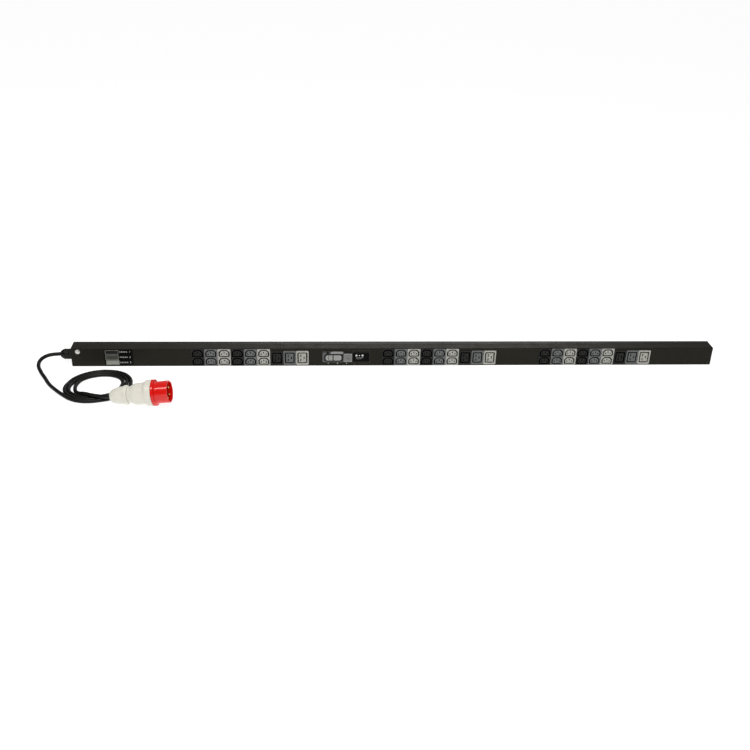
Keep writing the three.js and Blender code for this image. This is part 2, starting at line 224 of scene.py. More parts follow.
def outlet_plastic(name, base, rough, vary, shine, dark=0.85, reach=0.0045):
    """Moulded plastic of an outlet, with painted shade: its colour goes dark down in its grooves and slots, where
    shade falls.
    """
    m = Mat(name, base, rough, **{"Specular IOR Level": shine})
    slow = m.noise(60.0, 2.0)
    f = m.ramp(slow.outputs["Fac"], 0.3, 0.7, 0.0, 1.0)
    body = m.mix(f, shade(base, 1 - vary), shade(base, 1 + vary))
    # painted shade: the colour darkens with depth behind the face, in place of the shade down in the grooves and slots
    depth = m.node("ShaderNodeSeparateXYZ")
    m.link(m.coord.outputs["Object"], depth.inputs["Vector"])
    painted_recess_shade = m.ramp(depth.outputs["Y"], 0.0002, reach, 0.0, dark)
    m.colour(m.mix(painted_recess_shade, body, shade(base, 0.06)))
    r = m.noise(120.0, 3.0)
    m.roughness(m.ramp(r.outputs["Fac"], 0.3, 0.7, rough - 0.05, rough + 0.05))
    g = m.noise(1900.0, 2.0)
    m.bump(g.outputs["Fac"], 0.22, 0.00006)
    flow = m.noise(90.0, 1.0)
    m.bump(flow.outputs["Fac"], 0.12, 0.0004)
    return m.m


def metal(name, base, rough=0.3, stretch=(1, 1, 1), scale=400.0, vary=0.06):
    m = Mat(name, base, rough, 1.0)
    varied(m, vary, 180.0)
    n = m.noise(scale, 4.0, 0.6, stretch)
    m.roughness(m.ramp(n.outputs["Fac"], 0.3, 0.7, rough - 0.08, rough + 0.1))
    m.bump(n.outputs["Fac"], 0.12, 0.00005)
    return m.m


def printed(name, base, rough=0.4, shine=0.2):
    m = Mat(name, base, rough, **{"Specular IOR Level": shine})
    varied(m, 0.05, 300.0)
    g = m.noise(3000.0, 2.0)
    m.bump(g.outputs["Fac"], 0.15, 0.00002)
    return m.m


def jacket(name, base):
    m = Mat(name, base, 0.46, **{"Specular IOR Level": 0.22})
    varied(m, 0.12, 22.0)
    r = m.noise(60.0, 3.0)
    m.roughness(m.ramp(r.outputs["Fac"], 0.3, 0.7, 0.38, 0.56))
    talc = m.noise(1500.0, 2.0)
    m.bump(talc.outputs["Fac"], 0.3, 0.00007)
    lay = m.noise(75.0, 1.0)
    m.bump(lay.outputs["Fac"], 0.2, 0.0006)
    return m.m


COAT = powder_coat("coat_black", srgb(27, 26, 21))
COAT_REAR = powder_coat("coat_black_rear", srgb(27, 26, 21), 0.42)
CAP = moulded("cap_black", srgb(24, 23, 21), 0.5, vary=0.08, shine=0.16)
# the outlet materials below carry painted shade that darkens their grooves and slots
BLACK = outlet_plastic("outlet_black", srgb(22, 22, 21), 0.38, 0.08, 0.2)
GREY = outlet_plastic("outlet_grey", srgb(102, 104, 104), 0.42, 0.04, 0.2)
PALE = outlet_plastic("outlet_pale", srgb(166, 166, 160), 0.42, 0.04, 0.2)
GREY_LARGE = outlet_plastic("outlet_grey_large", srgb(98, 101, 100), 0.42, 0.04, 0.2, 0.7, 0.009)
PALE_LARGE = outlet_plastic("outlet_pale_large", srgb(168, 168, 161), 0.42, 0.04, 0.2, 0.7, 0.009)
NYLON = moulded("nylon_black", srgb(18, 18, 18), 0.44, spark=1500.0, vary=0.08, shine=0.22)
SEAL = moulded("seal_rubber", srgb(14, 14, 14), 0.62, spark=1200.0, vary=0.1, shine=0.15)
JACKET = jacket("cord_jacket", srgb(15, 15, 15))
SHELL = moulded("plug_shell", srgb(231, 229, 217), 0.36, spark=1400.0, strength=0.3, vary=0.025, shine=0.5)
RED = moulded("plug_red", srgb(226, 22, 16), 0.2, spark=2200.0, strength=0.1, vary=0.03, shine=0.5)
# painted shade: the pin carrier inside the shroud gets a darker copy of the shroud's red
RED_IN_SHADED = moulded("plug_red_inside_painted_shade", srgb(150, 12, 12), 0.4, vary=0.05, shine=0.3)
BRASS = metal("pin_brass", srgb(214, 178, 104), 0.24)
LEAF = metal("contact_brass", srgb(112, 100, 76), 0.45)
STEEL = metal("zinc_steel", srgb(222, 222, 218), 0.3)
FILM = printed("label_film", srgb(6, 6, 6), 0.5, 0.06)
INK_WHITE = printed("print_white", srgb(214, 214, 212), 0.45)
INK_GREY = printed("print_grey", srgb(128, 128, 126), 0.45)
INK_DARK = printed("print_dark_grey", srgb(70, 72, 66), 0.45, 0.1)
# painted highlight: the light grey line where the clear film's edge catches the light
FILM_EDGE_HIGHLIGHT = printed("film_edge_painted_highlight", srgb(62, 61, 57), 0.5, 0.2)
INK_BLACK = printed("print_black", srgb(34, 34, 33), 0.45, 0.08)
INK_PALE = printed("print_pale", srgb(150, 151, 143), 0.45, 0.1)
INK_LINE = printed("print_line", srgb(120, 121, 115), 0.45, 0.1)
INK_TEXT = printed("print_text", srgb(160, 160, 156), 0.45, 0.1)
MODULE = moulded("meter_module_grey", srgb(66, 67, 66), 0.45)
TRIM = moulded("meter_trim_grey", srgb(142, 143, 141), 0.42)
KEY = moulded("key_grey", srgb(120, 121, 120), 0.42)
KEY_MARK = printed("key_mark", srgb(94, 95, 94), 0.45, 0.15)
BUTTON = moulded("button_black", srgb(14, 14, 14), 0.36, vary=0.06, shine=0.15)
FRAME = moulded("screen_frame_black", srgb(16, 16, 17), 0.22, strength=0.05, vary=0.05, shine=0.2)


def lcd_material():
    m = Mat("lcd_glass", srgb(172, 173, 168), 0.32)
    m.p.inputs["Coat Weight"].default_value = 0.6
    m.p.inputs["Coat Roughness"].default_value = 0.05
    v = m.noise(70.0, 1.0)
    f = m.ramp(v.outputs["Fac"], 0.35, 0.65, 0.0, 1.0)
    m.colour(m.mix(f, srgb(144, 145, 141), srgb(162, 163, 158)))
    # the pixel grid behind the glass
    g = m.noise(2400.0, 0.0)
    m.bump(g.outputs["Fac"], 0.08, 0.00002)
    return m.m


def light_material():
    m = Mat("light_guide_clear", srgb(196, 198, 192), 0.18)
    m.p.inputs["Subsurface Weight"].default_value = 0.2
    m.p.inputs["Subsurface Radius"].default_value = (0.0015, 0.0015, 0.0015)
    varied(m, 0.05, 500.0)
    g = m.noise(900.0, 2.0)
    m.bump(g.outputs["Fac"], 0.1, 0.00005)
    return m.m


def board_material():
    m = Mat("circuit_board", srgb(30, 92, 54), 0.35)
    cells = m.node("ShaderNodeTexVoronoi", feature="DISTANCE_TO_EDGE")
    cells.inputs["Scale"].default_value = 260.0
    m.link(m.coord.outputs["Object"], cells.inputs["Vector"])
    f = m.ramp(cells.outputs["Distance"], 0.02, 0.06, 1.0, 0.0)
    m.colour(m.mix(f, srgb(24, 80, 46), srgb(52, 128, 74)))
    m.bump(cells.outputs["Distance"], 0.2, 0.00005)
    return m.m


LCD = lcd_material()
LIGHT = light_material()
BOARD = board_material()


# --------------------------------------------------------------------------- mesh tools
def arc2(cx, cz, r, a0, a1, n):
    return [(cx + r * math.cos(math.radians(a0 + (a1 - a0) * i / n)),
             cz + r * math.sin(math.radians(a0 + (a1 - a0) * i / n))) for i in range(n + 1)]


def circle(cx, cz, r, n, turn=0.0):
    return [(cx + r * math.cos(turn + 2 * math.pi * i / n), cz + r * math.sin(turn + 2 * math.pi * i / n))
            for i in range(n)]


def ccw(points):
    area = sum(a[0] * b[1] - b[0] * a[1] for a, b in zip(points, points[1:] + points[:1]))
    return list(points) if area > 0 else list(reversed(points))


def fillet(points, radii, n=4):
    """A polygon with its corners rounded; radii is one number, or one for each corner."""
    points = [Vector(p) for p in points]
    if not isinstance(radii, (list, tuple)):
        radii = [radii] * len(points)
    out = []
    for i, p in enumerate(points):
        r = radii[i]
        a, b = points[i - 1] - p, points[(i + 1) % len(points)] - p
        la, lb = a.length, b.length
        a, b = a / la, b / lb
        turn = math.acos(max(-1, min(1, a.dot(b))))
        if r <= 0 or turn > math.pi - 0.02:
            out.append((p.x, p.y))
            continue
        t = r / math.tan(turn / 2)
        if t > 0.49 * min(la, lb):
            t = 0.49 * min(la, lb)
            r = t * math.tan(turn / 2)
        c = p + (a + b).normalized() * (r / math.sin(turn / 2))
        s, e = p + a * t - c, p + b * t - c
        s0 = math.atan2(s.y, s.x)
        d = (math.atan2(e.y, e.x) - s0 + math.pi) % (2 * math.pi) - math.pi
        for k in range(n + 1):
            g = s0 + d * k / n
            out.append((c.x + r * math.cos(g), c.y + r * math.sin(g)))
    return out


def rrect(x0, x1, z0, z1, r, n=4):
    return fillet([(x0, z0), (x1, z0), (x1, z1), (x0, z1)], r, n)


def offset(points, d):
    """A loop moved outwards by d, with as many points as before. The loop runs counter-clockwise."""
    if not d:
        return list(points)
    out = []
    for i, p in enumerate(points):
        a, b, c = Vector(points[i - 1]), Vector(p), Vector(points[(i + 1) % len(points)])
        e, f = (b - a).normalized(), (c - b).normalized()
        n1, n2 = Vector((e.y, -e.x)), Vector((f.y, -f.x))
        m = (n1 + n2).normalized()
        q = b + m * (d / max(0.4, m.dot(n1)))
        out.append((q.x, q.y))
    return out


def rim(r, level, inward, n=3):
    """The rounded edge between a face at this level and a wall that goes on to higher levels.
    inward: the solid is inside the loop, so the face ring is smaller; otherwise it is round a hole."""
    k = -1 if inward else 1
    return [(k * r * (1 - math.sin(math.pi / 2 * i / n)), level + r * (1 - math.cos(math.pi / 2 * i / n)))
            for i in range(n + 1)]


class Build:
    """Vertices in mm and faces, made from rings that lie in planes."""

    def __init__(self, place=None):
        self.v, self.f, self.m = [], [], []
        self.place = place or (lambda a, b, c: (a, b, c))
        self.mat = 0

    def point(self, p):
        self.v.append(self.place(*p))
        return len(self.v) - 1

    def ring(self, points, level):
        """A loop of (x, z) points at depth y = level."""
        return [self.point((x, level, z)) for x, z in points]

    def face(self, *ids):
        self.f.append(tuple(ids))
        self.m.append(self.mat)

    def bridge(self, a, b, closed=True):
        n = len(a)
        for i in range(n if closed else n - 1):
            j = (i + 1) % n
            self.face(a[i], a[j], b[j], b[i])

    def wall(self, loop, profile):
        """Rings of a loop through (offset, level) pairs, joined in order. Returns the rings."""
        rings = [self.ring(offset(loop, d), y) for d, y in profile]
        for a, b in zip(rings, rings[1:]):
            self.bridge(a, b)
        return rings

    def cap(self, ring, holes=()):
        if not holes and len(ring) <= 4:
            self.face(*ring)
            return
        loops = [ring, *holes]
        flat = [i for l in loops for i in l]
        tris = geometry.tessellate_polygon([[Vector(self.v[i]) for i in l] for l in loops])
        for a, b, c in tris:
            if len({flat[a], flat[b], flat[c]}) == 3:
                self.face(flat[a], flat[b], flat[c])

    def merge(self, other, move=(0, 0, 0)):
        k = len(self.v)
        self.v += [(p[0] + move[0], p[1] + move[1], p[2] + move[2]) for p in other.v]
        self.f += [tuple(i + k for i in f) for f in other.f]
        self.m += other.m

    # ---- closed bodies
    def plate(self, outer, holes, y0, y1, edge=0.4, hole_edge=0.3, n=3, back_edge=0.0, floor=None):
        """A plate from y0 (front) to y1, with rounded front edges."""
        outer, holes = ccw(outer), [ccw(h) for h in holes]
        tail = [(0, y1)] if not back_edge else [(d, 2 * 0 + y1 + (y0 - y)) for d, y in reversed(rim(back_edge, y0, True, n))]
        ro = self.wall(outer, rim(edge, y0, True, n) + tail if edge else [(0, y0)] + tail)
        rh = []
        for h in holes:
            rh.append(self.wall(h, (rim(hole_edge, y0, False, n) if hole_edge else [(0, y0)]) + [(0, y1)]))
        self.cap(ro[0], [r[0] for r in rh])
        self.cap(ro[-1], [r[-1] for r in rh])

    def box(self, x0, x1, y0, y1, z0, z1, edge=0.2, n=2, r=None):
        r = edge if r is None else r
        self.plate(rrect(x0, x1, z0, z1, r, n), [], y0, y1, edge, 0, n, edge)

    def lathe(self, profile, n=64, radius=None, closed=False):
        """A profile of (along, radius) turned about the along axis. radius(along, r, angle) reshapes it."""
        rings, ends = [], []
        for s, r in profile:
            if r <= 1e-6:
                rings.append([self.point((s, 0, 0))])
                continue
            pts = []
            for i in range(n):
                t = 2 * math.pi * i / n
                q = radius(s, r, t) if radius else r
                pts.append(self.point((s, q * math.cos(t), q * math.sin(t))))
            rings.append(pts)
        pairs = list(zip(rings, rings[1:])) + ([(rings[-1], rings[0])] if closed else [])
        for a, b in pairs:
            if len(a) == 1 and len(b) == 1:
                continue
            if len(a) == 1 or len(b) == 1:
                tip, rest = (a[0], b) if len(a) == 1 else (b[0], a)
                for i in range(n):
                    self.face(tip, rest[i], rest[(i + 1) % n])
            else:
                self.bridge(a, b)
        if not closed:
            for r in (rings[0], rings[-1]):
                if len(r) > 1:
                    self.cap(r)

    # ---- to Blender
    def mesh(self, name, materials, angle=32.0, flip=None):
        me = bpy.data.meshes.new(name)
        me.from_pydata([tuple(p) for p in self.v], [], self.f)
        for m in materials:
            me.materials.append(m)
        me.polygons.foreach_set("material_index", self.m)
        bm = bmesh.new()
        bm.from_mesh(me)
        bmesh.ops.remove_doubles(bm, verts=bm.verts, dist=1e-7)
        bmesh.ops.dissolve_degenerate(bm, dist=1e-7, edges=bm.edges)
        bmesh.ops.recalc_face_normals(bm, faces=bm.faces)
        bm.to_mesh(me)
        bm.free()
        me.polygons.foreach_set("use_smooth", [True] * len(me.polygons))
        me.set_sharp_from_angle(angle=math.radians(angle))
        me.update()
        return me


def row_place(x, y, z):
    return tuple(at(x, y, z))


def plain_place(x, y, z):
    return (x * MM, y * MM, z * MM)


def piece(name, mesh, body="chassis", replaces=(), where=None, weighted=True):
    o = bpy.data.objects.new(name, mesh)
    scene.collection.objects.link(o)
    if where is not None:
        o.matrix_world = where if isinstance(where, Matrix) else Matrix.Translation(where)
    if weighted:
        w = o.modifiers.new("even_normals", "WEIGHTED_NORMAL")
        w.keep_sharp = True
        w.weight = 60
    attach(o, body)
    if replaces:
        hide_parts(*([replaces] if isinstance(replaces, str) else replaces))
    return o


def smooth_pairs(points, n=6, r=0.8):
    """An open profile of (along, radius) points with its corners rounded."""
    out = [points[0]]
    for i in range(1, len(points) - 1):
        p, a, b = Vector(points[i]), Vector(points[i - 1]), Vector(points[i + 1])
        u, v = a - p, b - p
        lu, lv = u.length, v.length
        u, v = u / lu, v / lv
        turn = math.acos(max(-1, min(1, u.dot(v))))
        rr = r[i] if isinstance(r, (list, tuple)) else r
        if turn > math.pi - 0.03 or rr <= 0:
            out.append(tuple(p))
            continue
        t = min(rr / math.tan(turn / 2), 0.45 * lu, 0.45 * lv)
        q = t * math.tan(turn / 2)
        c = p + (u + v).normalized() * (q / math.sin(turn / 2))
        s, e = p + u * t - c, p + v * t - c
        s0 = math.atan2(s.y, s.x)
        d = (math.atan2(e.y, e.x) - s0 + math.pi) % (2 * math.pi) - math.pi
        for k in range(n + 1):
            g = s0 + d * k / n
            out.append((c.x + q * math.cos(g), c.y + q * math.sin(g)))
    out.append(points[-1])
    return out


# --------------------------------------------------------------------------- the lead
# The route that part.mjs gives the lead, in mm from the outlet face: out of the gland,
# down to the surface, three turns inwards, over the turns and up to the plug.
ROUTE = [
    (-906.0, 23.0, 27.0), (-921.3, 23.0, 27.0), (-929.3, 22.1, 26.9), (-946.3, 18.4, 26.6), (-956.3, 12.9, 25.9),
    (-968.3, -2.0, 22.8), (-970.8, -23.7, 17.4), (-960.2, -49.0, 10.9), (-943.9, -76.0, 6.6), (-923.1, -113.0, 5.4),
    (-901.2, -142.0, 5.3), (-876.6, -169.5, 5.3), (-855.9, -189.2, 5.3), (-833.7, -200.5, 5.3), (-810.0, -204.1, 5.3),
    (-776.8, -198.3, 5.3), (-748.5, -185.7, 5.3), (-728.0, -163.7, 5.3), (-717.1, -135.1, 5.3), (-716.0, -103.8, 5.3),
    (-726.2, -73.2, 5.3), (-749.4, -50.2, 5.3), (-780.5, -40.5, 5.3), (-812.1, -42.7, 5.3), (-840.5, -55.2, 5.3),
    (-862.6, -76.4, 5.3), (-875.3, -104.6, 5.3), (-879.5, -135.9, 5.3), (-867.7, -164.9, 5.3), (-844.0, -185.3, 5.3),
    (-815.9, -194.1, 5.3), (-788.1, -191.0, 5.3), (-763.1, -182.7, 5.3), (-742.2, -166.5, 5.3), (-729.9, -143.0, 5.3),
    (-726.1, -116.2, 5.3), (-729.8, -88.4, 5.3), (-746.6, -65.3, 5.3), (-772.2, -52.2, 5.3), (-800.2, -50.7, 5.3),
    (-826.2, -58.7, 5.3), (-848.0, -74.5, 5.3), (-861.9, -97.3, 5.3), (-869.6, -123.9, 5.3), (-864.7, -151.3, 5.3),
    (-845.7, -171.6, 5.3), (-821.8, -182.9, 5.3), (-797.7, -182.8, 5.3), (-775.7, -176.9, 5.3), (-755.7, -166.2, 5.3),
    (-742.5, -147.8, 5.3), (-737.0, -125.6, 5.3), (-737.0, -101.8, 5.3), (-747.1, -79.6, 5.3), (-767.0, -64.9, 5.3),
    (-791.0, -60.1, 5.3), (-814.2, -64.2, 5.3), (-834.1, -75.0, 5.3), (-850.0, -96.1, 5.3), (-850.9, -145.2, 5.6),
    (-838.4, -165.5, 8.3), (-820.8, -177.8, 13.6), (-801.1, -188.6, 15.2), (-782.4, -195.1, 15.6), (-765.1, -201.5, 17.4),
    (-748.5, -205.0, 20.0), (-738.7, -206.0, 21.4),
]
CORD_D = 10.0
curve = bpy.data.curves.new("power_cord", "CURVE")
curve.dimensions = "3D"
curve.resolution_u = 8
curve.bevel_depth = CORD_D / 2 * MM
curve.bevel_resolution = 6
curve.use_fill_caps = True
spline = curve.splines.new("BEZIER")
spline.bezier_points.add(len(ROUTE) - 1)
for p, q in zip(spline.bezier_points, ROUTE):
    p.co = at(*q)
    p.handle_left_type = p.handle_right_type = "AUTO"
curve.materials.append(JACKET)
cord = bpy.data.objects.new("power_cord", curve)
scene.collection.objects.link(cord)
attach(cord, "chassis")
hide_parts("power_cord_lead", "power_cord_coil", "power_cord_tail")

# --------------------------------------------------------------------------- shells
HALF = 889.0
CAP_T, GAP = 2.0, 0.3
SHELL_X = HALF - CAP_T - GAP
H, DEPTH, SHEET, BEND = 53.0, 46.0, 1.2, 1.5
SEAM_FRONT, SEAM_REAR, LAP_END = 26.6, 28.4, 15.0
BANKS = [-569.2, -48.9, 390.9]
C13_PITCH, C19_PITCH, BANK_GAP = 35.77, 34.66, 0.93
C13_Z, C19_Z, C13_H, C19_H = 26.5, 24.7, 50.0, 42.6
FRONT = -1.3
SCREW = (-870.4, 44.5)
LIGHTS_X, LIGHTS_Z = (-195.7, -170.3, -145.5), 7.5
M_X0, M_X1, M_Z0, M_ZR, M_Z1 = -212.0, -130.0, 11.6, 38.3, 44.6
SCR = (-206.4, -155.2, 13.6, 36.2, 8.0)
KEY_R = (-151.0, -134.0, 16.4, 34.0)
BTN = (-197.5, 40.5, 2.8)


def meter_outline(i):
    return [(M_X0 + i, M_Z0 + i), (M_X1 - i, M_Z0 + i), (M_X1 - i, M_ZR - i),
            (M_X1 - 21 - i * 0.4, M_ZR - i), (M_X1 - 26 - i * 0.6, M_Z1 - i), (M_X0 + i, M_Z1 - i)]


def channel(b, face_holes, outer_arm, inner_arm, y_face, y_inner):
    """A folded channel along X. The face lies at y_face with holes in it, and both arms go out from
    its bends. outer_arm and inner_arm are (y, z) points of the lower arm from the face's edge to its
    free edge, on the outside and the inside; the upper arm is their mirror image."""
    ends = []
    for x in (-SHELL_X, SHELL_X):
        lo_o = [b.point((x, y, z)) for y, z in outer_arm]
        lo_i = [b.point((x, y, z)) for y, z in inner_arm]
        up_o = [b.point((x, y, H - z)) for y, z in outer_arm]
        up_i = [b.point((x, y, H - z)) for y, z in inner_arm]
        ends.append((lo_o, lo_i, up_o, up_i))
    for k in range(4):
        b.bridge(ends[0][k], ends[1][k], closed=False)
    for o, i in ((0, 1), (2, 3)):  # free edges
        b.face(ends[0][o][-1], ends[1][o][-1], ends[1][i][-1], ends[0][i][-1])
    # face, outside and inside, with the walls of its holes
    ro, ri = [], []
    step = 1 if y_inner > y_face else -1
    for h in face_holes:
        h = ccw(h)
        rings = [b.ring(offset(h, 0.25), y_face), b.ring(offset(h, 0.07), y_face + step * 0.07),
                 b.ring(h, y_face + step * 0.25), b.ring(h, y_inner)]
        for p, q in zip(rings, rings[1:]):
            b.bridge(p, q)
        ro.append(rings[0])
        ri.append(rings[-1])
    e0, e1 = ends
    b.cap([e0[0][0], e1[0][0], e1[2][0], e0[2][0]], ro) if ro else b.face(e0[0][0], e1[0][0], e1[2][0], e0[2][0])
    b.cap([e0[1][0], e1[1][0], e1[3][0], e0[3][0]], ri) if ri else b.face(e0[1][0], e1[1][0], e1[3][0], e0[3][0])
    for lo_o, lo_i, up_o, up_i in ends:  # cut ends, in three parts
        for o, i in ((lo_o, lo_i), (up_o, up_i)):
            b.cap(list(o) + list(reversed(i)))
        b.face(lo_o[0], lo_i[0], up_i[0], up_o[0])


def bend(cy, cz, r, a0, a1, n):
    return arc2(cy, cz, r, a0, a1, n)


lap_z = SHEET + GAP
windows = []
for start in BANKS:
    split = start + 6 * C13_PITCH
    end = split + BANK_GAP + 3 * C19_PITCH
    windows.append(rrect(start + 1.2, split - 1.5, C13_Z - 23.6, C13_Z + 23.6, 0.8))
    windows.append(rrect(split + BANK_GAP + 1.2, end - 1.5, C19_Z - 19.4, C19_Z + 19.4, 0.8))
windows.append(fillet(meter_outline(1.0), 0.8))
windows.append(circle(*SCREW, 2.7, 32))
windows += [circle(x, LIGHTS_Z, 1.9, 32) for x in LIGHTS_X]

b = Build(row_place)
n_bend = 7
outer = bend(BEND, BEND, BEND, 180, 270, n_bend) + [(SEAM_FRONT - 0.25, 0), (SEAM_FRONT - 0.07, 0.07), (SEAM_FRONT, 0.25)]
inner = [(SHEET, BEND)] + bend(BEND, BEND, BEND - SHEET, 180, 270, n_bend)[1:] + [(SEAM_FRONT - 0.25, SHEET), (SEAM_FRONT - 0.07, SHEET - 0.07), (SEAM_FRONT, SHEET - 0.25)]
channel(b, windows, outer, inner, 0.0, SHEET)
piece("front_shell_coated", b.mesh("front_shell_coated", [COAT]), replaces=("front_shell_left", "front_shell_middle", "front_shell_right"))

PEGS = (-777.9, -733.4, 733.4, 777.9)
b = Build(row_place)
outer = (bend(DEPTH - BEND, BEND, BEND, 360, 270, n_bend)
         + smooth_pairs([(SEAM_REAR + 3, 0), (SEAM_REAR, 0), (SEAM_FRONT + 0.5, lap_z), (SEAM_FRONT - 3, lap_z)], 4, 0.8)
         + [(LAP_END, lap_z)])
inner = (bend(DEPTH - BEND, BEND, BEND - SHEET, 360, 270, n_bend)
         + smooth_pairs([(SEAM_REAR + 3.5, SHEET), (SEAM_REAR + 0.7, SHEET), (SEAM_FRONT + 1.2, lap_z + SHEET), (SEAM_FRONT - 3, lap_z + SHEET)], 4, 0.8)
         + [(LAP_END, lap_z + SHEET)])
channel(b, [circle(x, H / 2, 2.6, 40) for x in PEGS], outer, inner, DEPTH, DEPTH - SHEET)
piece("rear_shell_coated", b.mesh("rear_shell_coated", [COAT_REAR]), replaces=("rear_shell_left", "rear_shell_right"))

# press-in threaded bushes in the rear wall, where the mounting pegs screw in
b = Build(lambda s, y, z: tuple(at(y, DEPTH - s, z)))
for x in PEGS:
    one = Build(lambda s, p, q, x=x: tuple(at(x + p, DEPTH - s, H / 2 + q)))
    prof = [(0.35, 2.55), (0.35, 2.1)]
    for k in range(7):  # thread
        prof += [(0.7 + k * 0.6, 1.95), (1.0 + k * 0.6, 2.15)]
    prof += [(5.2, 2.1), (5.2, 3.6), (1.5, 3.6), (1.5, 2.55)]
    one.lathe(prof, 40, closed=True)
    b.merge(one)
piece("rear_wall_bushes", b.mesh("rear_wall_bushes", [STEEL]))

for side, name in ((-1, "end_cap_left"), (1, "end_cap_right")):
    # the plate's outer face points along side
    b = Build(lambda u, s, v, side=side: tuple(at(side * (HALF - s), u, v)))
    hole = [circle(23, 27, 12.5, 72)] if side < 0 else []
    b.plate(fillet([(0, 0), (DEPTH, 0), (DEPTH, H), (0, H)], BEND, 7), hole, 0.0, CAP_T, 0.45, 0.3, 4)
    lip = Build(lambda u, s, v, side=side: tuple(at(side * (HALF - s), u, v)))
    lo, li = rrect(1.6, 44.4, 3.1, 49.9, 0.8), rrect(3.1, 42.9, 4.6, 48.4, 0.6)
    r1 = lip.wall(lo, [(0, CAP_T - 0.2), (0, 9.6), (-0.3, 10.0)])
    r2 = lip.wall(li, [(0, CAP_T - 0.2), (0, 9.6), (0.3, 10.0)])
    lip.cap(r1[0], [r2[0]])
    lip.cap(r1[-1], [r2[-1]])
    b.merge(lip)
    piece(name + "_moulded", b.mesh(name, [CAP]), replaces=name)


# --------------------------------------------------------------------------- outlets
def leaf_contact(b, x, z, w, h, y0, y1):
    """Two spring leaves in one slot."""
    for k in (-1, 1):
        xc = x + k * (w / 2 - 0.35)
        b.box(xc - 0.22, xc + 0.22, y0, y1, z - h / 2 + 0.35, z + h / 2 - 0.35, 0.12, 2)


def c13_outline(w, h, chamfer, r_low, r_top, n=5):
    return fillet([(-w, -h), (w, -h), (w, h - chamfer), (w - chamfer, h), (-w + chamfer, h), (-w, h - chamfer)],
                  [r_low, r_low, r_top, r_top, r_top, r_top], n)


def lift(points, z):
    return [(x, v + z) for x, v in points]


def c13_twin():
    """Origin in the middle of the twin, on the outlet face."""
    b = Build(plain_place)
    w = C13_PITCH / 2 - GAP / 2
    flange = rrect(-w, w, -C13_H / 2, C13_H / 2, 1.7, 5)
    ro = b.wall(flange, rim(0.55, FRONT, True, 4) + [(0, FRONT + 1.0)])
    mouths = []
    for k in (-1, 1):
        z = k * 23.8 / 2
        mouth = lift(c13_outline(15.0, 10.9, 7.2, 4.0, 5.0, 7), z)
        island = lift(c13_outline(11.4, 7.4, 5.2, 2.0, 3.0, 6), z)
        slots = [rrect(-8.2, -5.8, z - 4.6, z + 0.6, 0.35), rrect(5.8, 8.2, z - 4.6, z + 0.6, 0.35), rrect(-1.2, 1.2, z - 0.4, z + 4.8, 0.35)]
        rm = b.wall(mouth, rim(0.5, FRONT, False, 4) + [(0, 6.0), (-0.12, 15.2)])
        mouths.append(rm[0])
        ri = b.wall(island, rim(0.4, FRONT + 0.25, True, 4) + [(0, 6.0), (0.12, 15.2)])
        b.cap(rm[-1], [ri[-1]])
        rs = []
        for s in slots:
            r = b.wall(s, rim(0.3, FRONT + 0.25, False, 3) + [(0, 12.0)])
            b.cap(r[-1])
            rs.append(r[0])
        b.cap(ri[0], rs)
    b.cap(ro[0], mouths)
    body = rrect(-16.2, 16.2, -23.3, 23.3, 0.8)
    rb = b.wall(body, [(0, FRONT + 1.0), (0, 16.4), (-0.6, 17.0)])
    b.cap(ro[-1], [rb[0]])
    b.cap(rb[-1])
    b.mat = 1
    for k in (-1, 1):
        z = k * 23.8 / 2
        leaf_contact(b, -7.0, z - 2.0, 2.4, 5.2, 5.2, 11.8)
        leaf_contact(b, 7.0, z - 2.0, 2.4, 5.2, 5.2, 11.8)
        leaf_contact(b, 0.0, z + 2.2, 2.4, 5.2, 4.2, 11.8)
    return b


def c19_single():
    b = Build(plain_place)
    w = C19_PITCH / 2 - GAP / 2
    flange = rrect(-w, w, -C19_H / 2, C19_H / 2, 3.0, 7)
    ro = b.wall(flange, rim(0.55, FRONT, True, 4) + [(0, FRONT + 1.0)])
    mouth = rrect(-13.6, 13.6, -16.4, 16.4, 3.0, 6)
    island = rrect(-10.1, 10.1, -12.9, 12.9, 1.8, 5)
    slots = [rrect(-5.6, -2.8, 2.2, 10.6, 0.4), rrect(-5.6, -2.8, -10.6, -2.2, 0.4), rrect(3.2, 6.0, -4.2, 4.2, 0.4)]
    rm = b.wall(mouth, rim(0.5, FRONT, False, 4) + [(0, 6.0), (-0.12, 16.0)])
    ri = b.wall(island, rim(0.4, FRONT + 0.25, True, 4) + [(0, 6.0), (0.12, 16.0)])
    b.cap(rm[-1], [ri[-1]])
    rs = []
    for s in slots:
        r = b.wall(s, rim(0.3, FRONT + 0.25, False, 3) + [(0, 13.0)])
        b.cap(r[-1])
        rs.append(r[0])
    b.cap(ri[0], rs)
    b.cap(ro[0], [rm[0]])
    body = rrect(-15.5, 15.5, -19.0, 19.0, 0.8)
    rb = b.wall(body, [(0, FRONT + 1.0), (0, 17.0), (-0.6, 17.6)])
    b.cap(ro[-1], [rb[0]])
    b.cap(rb[-1])
    b.mat = 1
    leaf_contact(b, -4.2, 6.4, 2.8, 8.4, 3.6, 12.8)
    leaf_contact(b, -4.2, -6.4, 2.8, 8.4, 3.6, 12.8)
    leaf_contact(b, 4.6, 0.0, 2.8, 8.4, 2.6, 12.8)
    return b


TONES = (("black", BLACK), ("grey", GREY), ("pale", PALE))
LARGE = {"black": BLACK, "grey": GREY_LARGE, "pale": PALE_LARGE}
c13_meshes = {t: c13_twin().mesh(f"c13_twin_{t}", [m, LEAF]) for t, m in TONES}
c19_meshes = {t: c19_single().mesh(f"c19_{t}", [LARGE[t], LEAF]) for t, _ in TONES}


def outlet(node, meshes, tone):
    lo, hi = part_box(node)
    where = Vector(((lo[0] + hi[0]) / 2, lo[1] - FRONT * MM, (lo[2] + hi[2]) / 2))
    piece(node + "_moulded", meshes[tone], replaces=node, where=where)


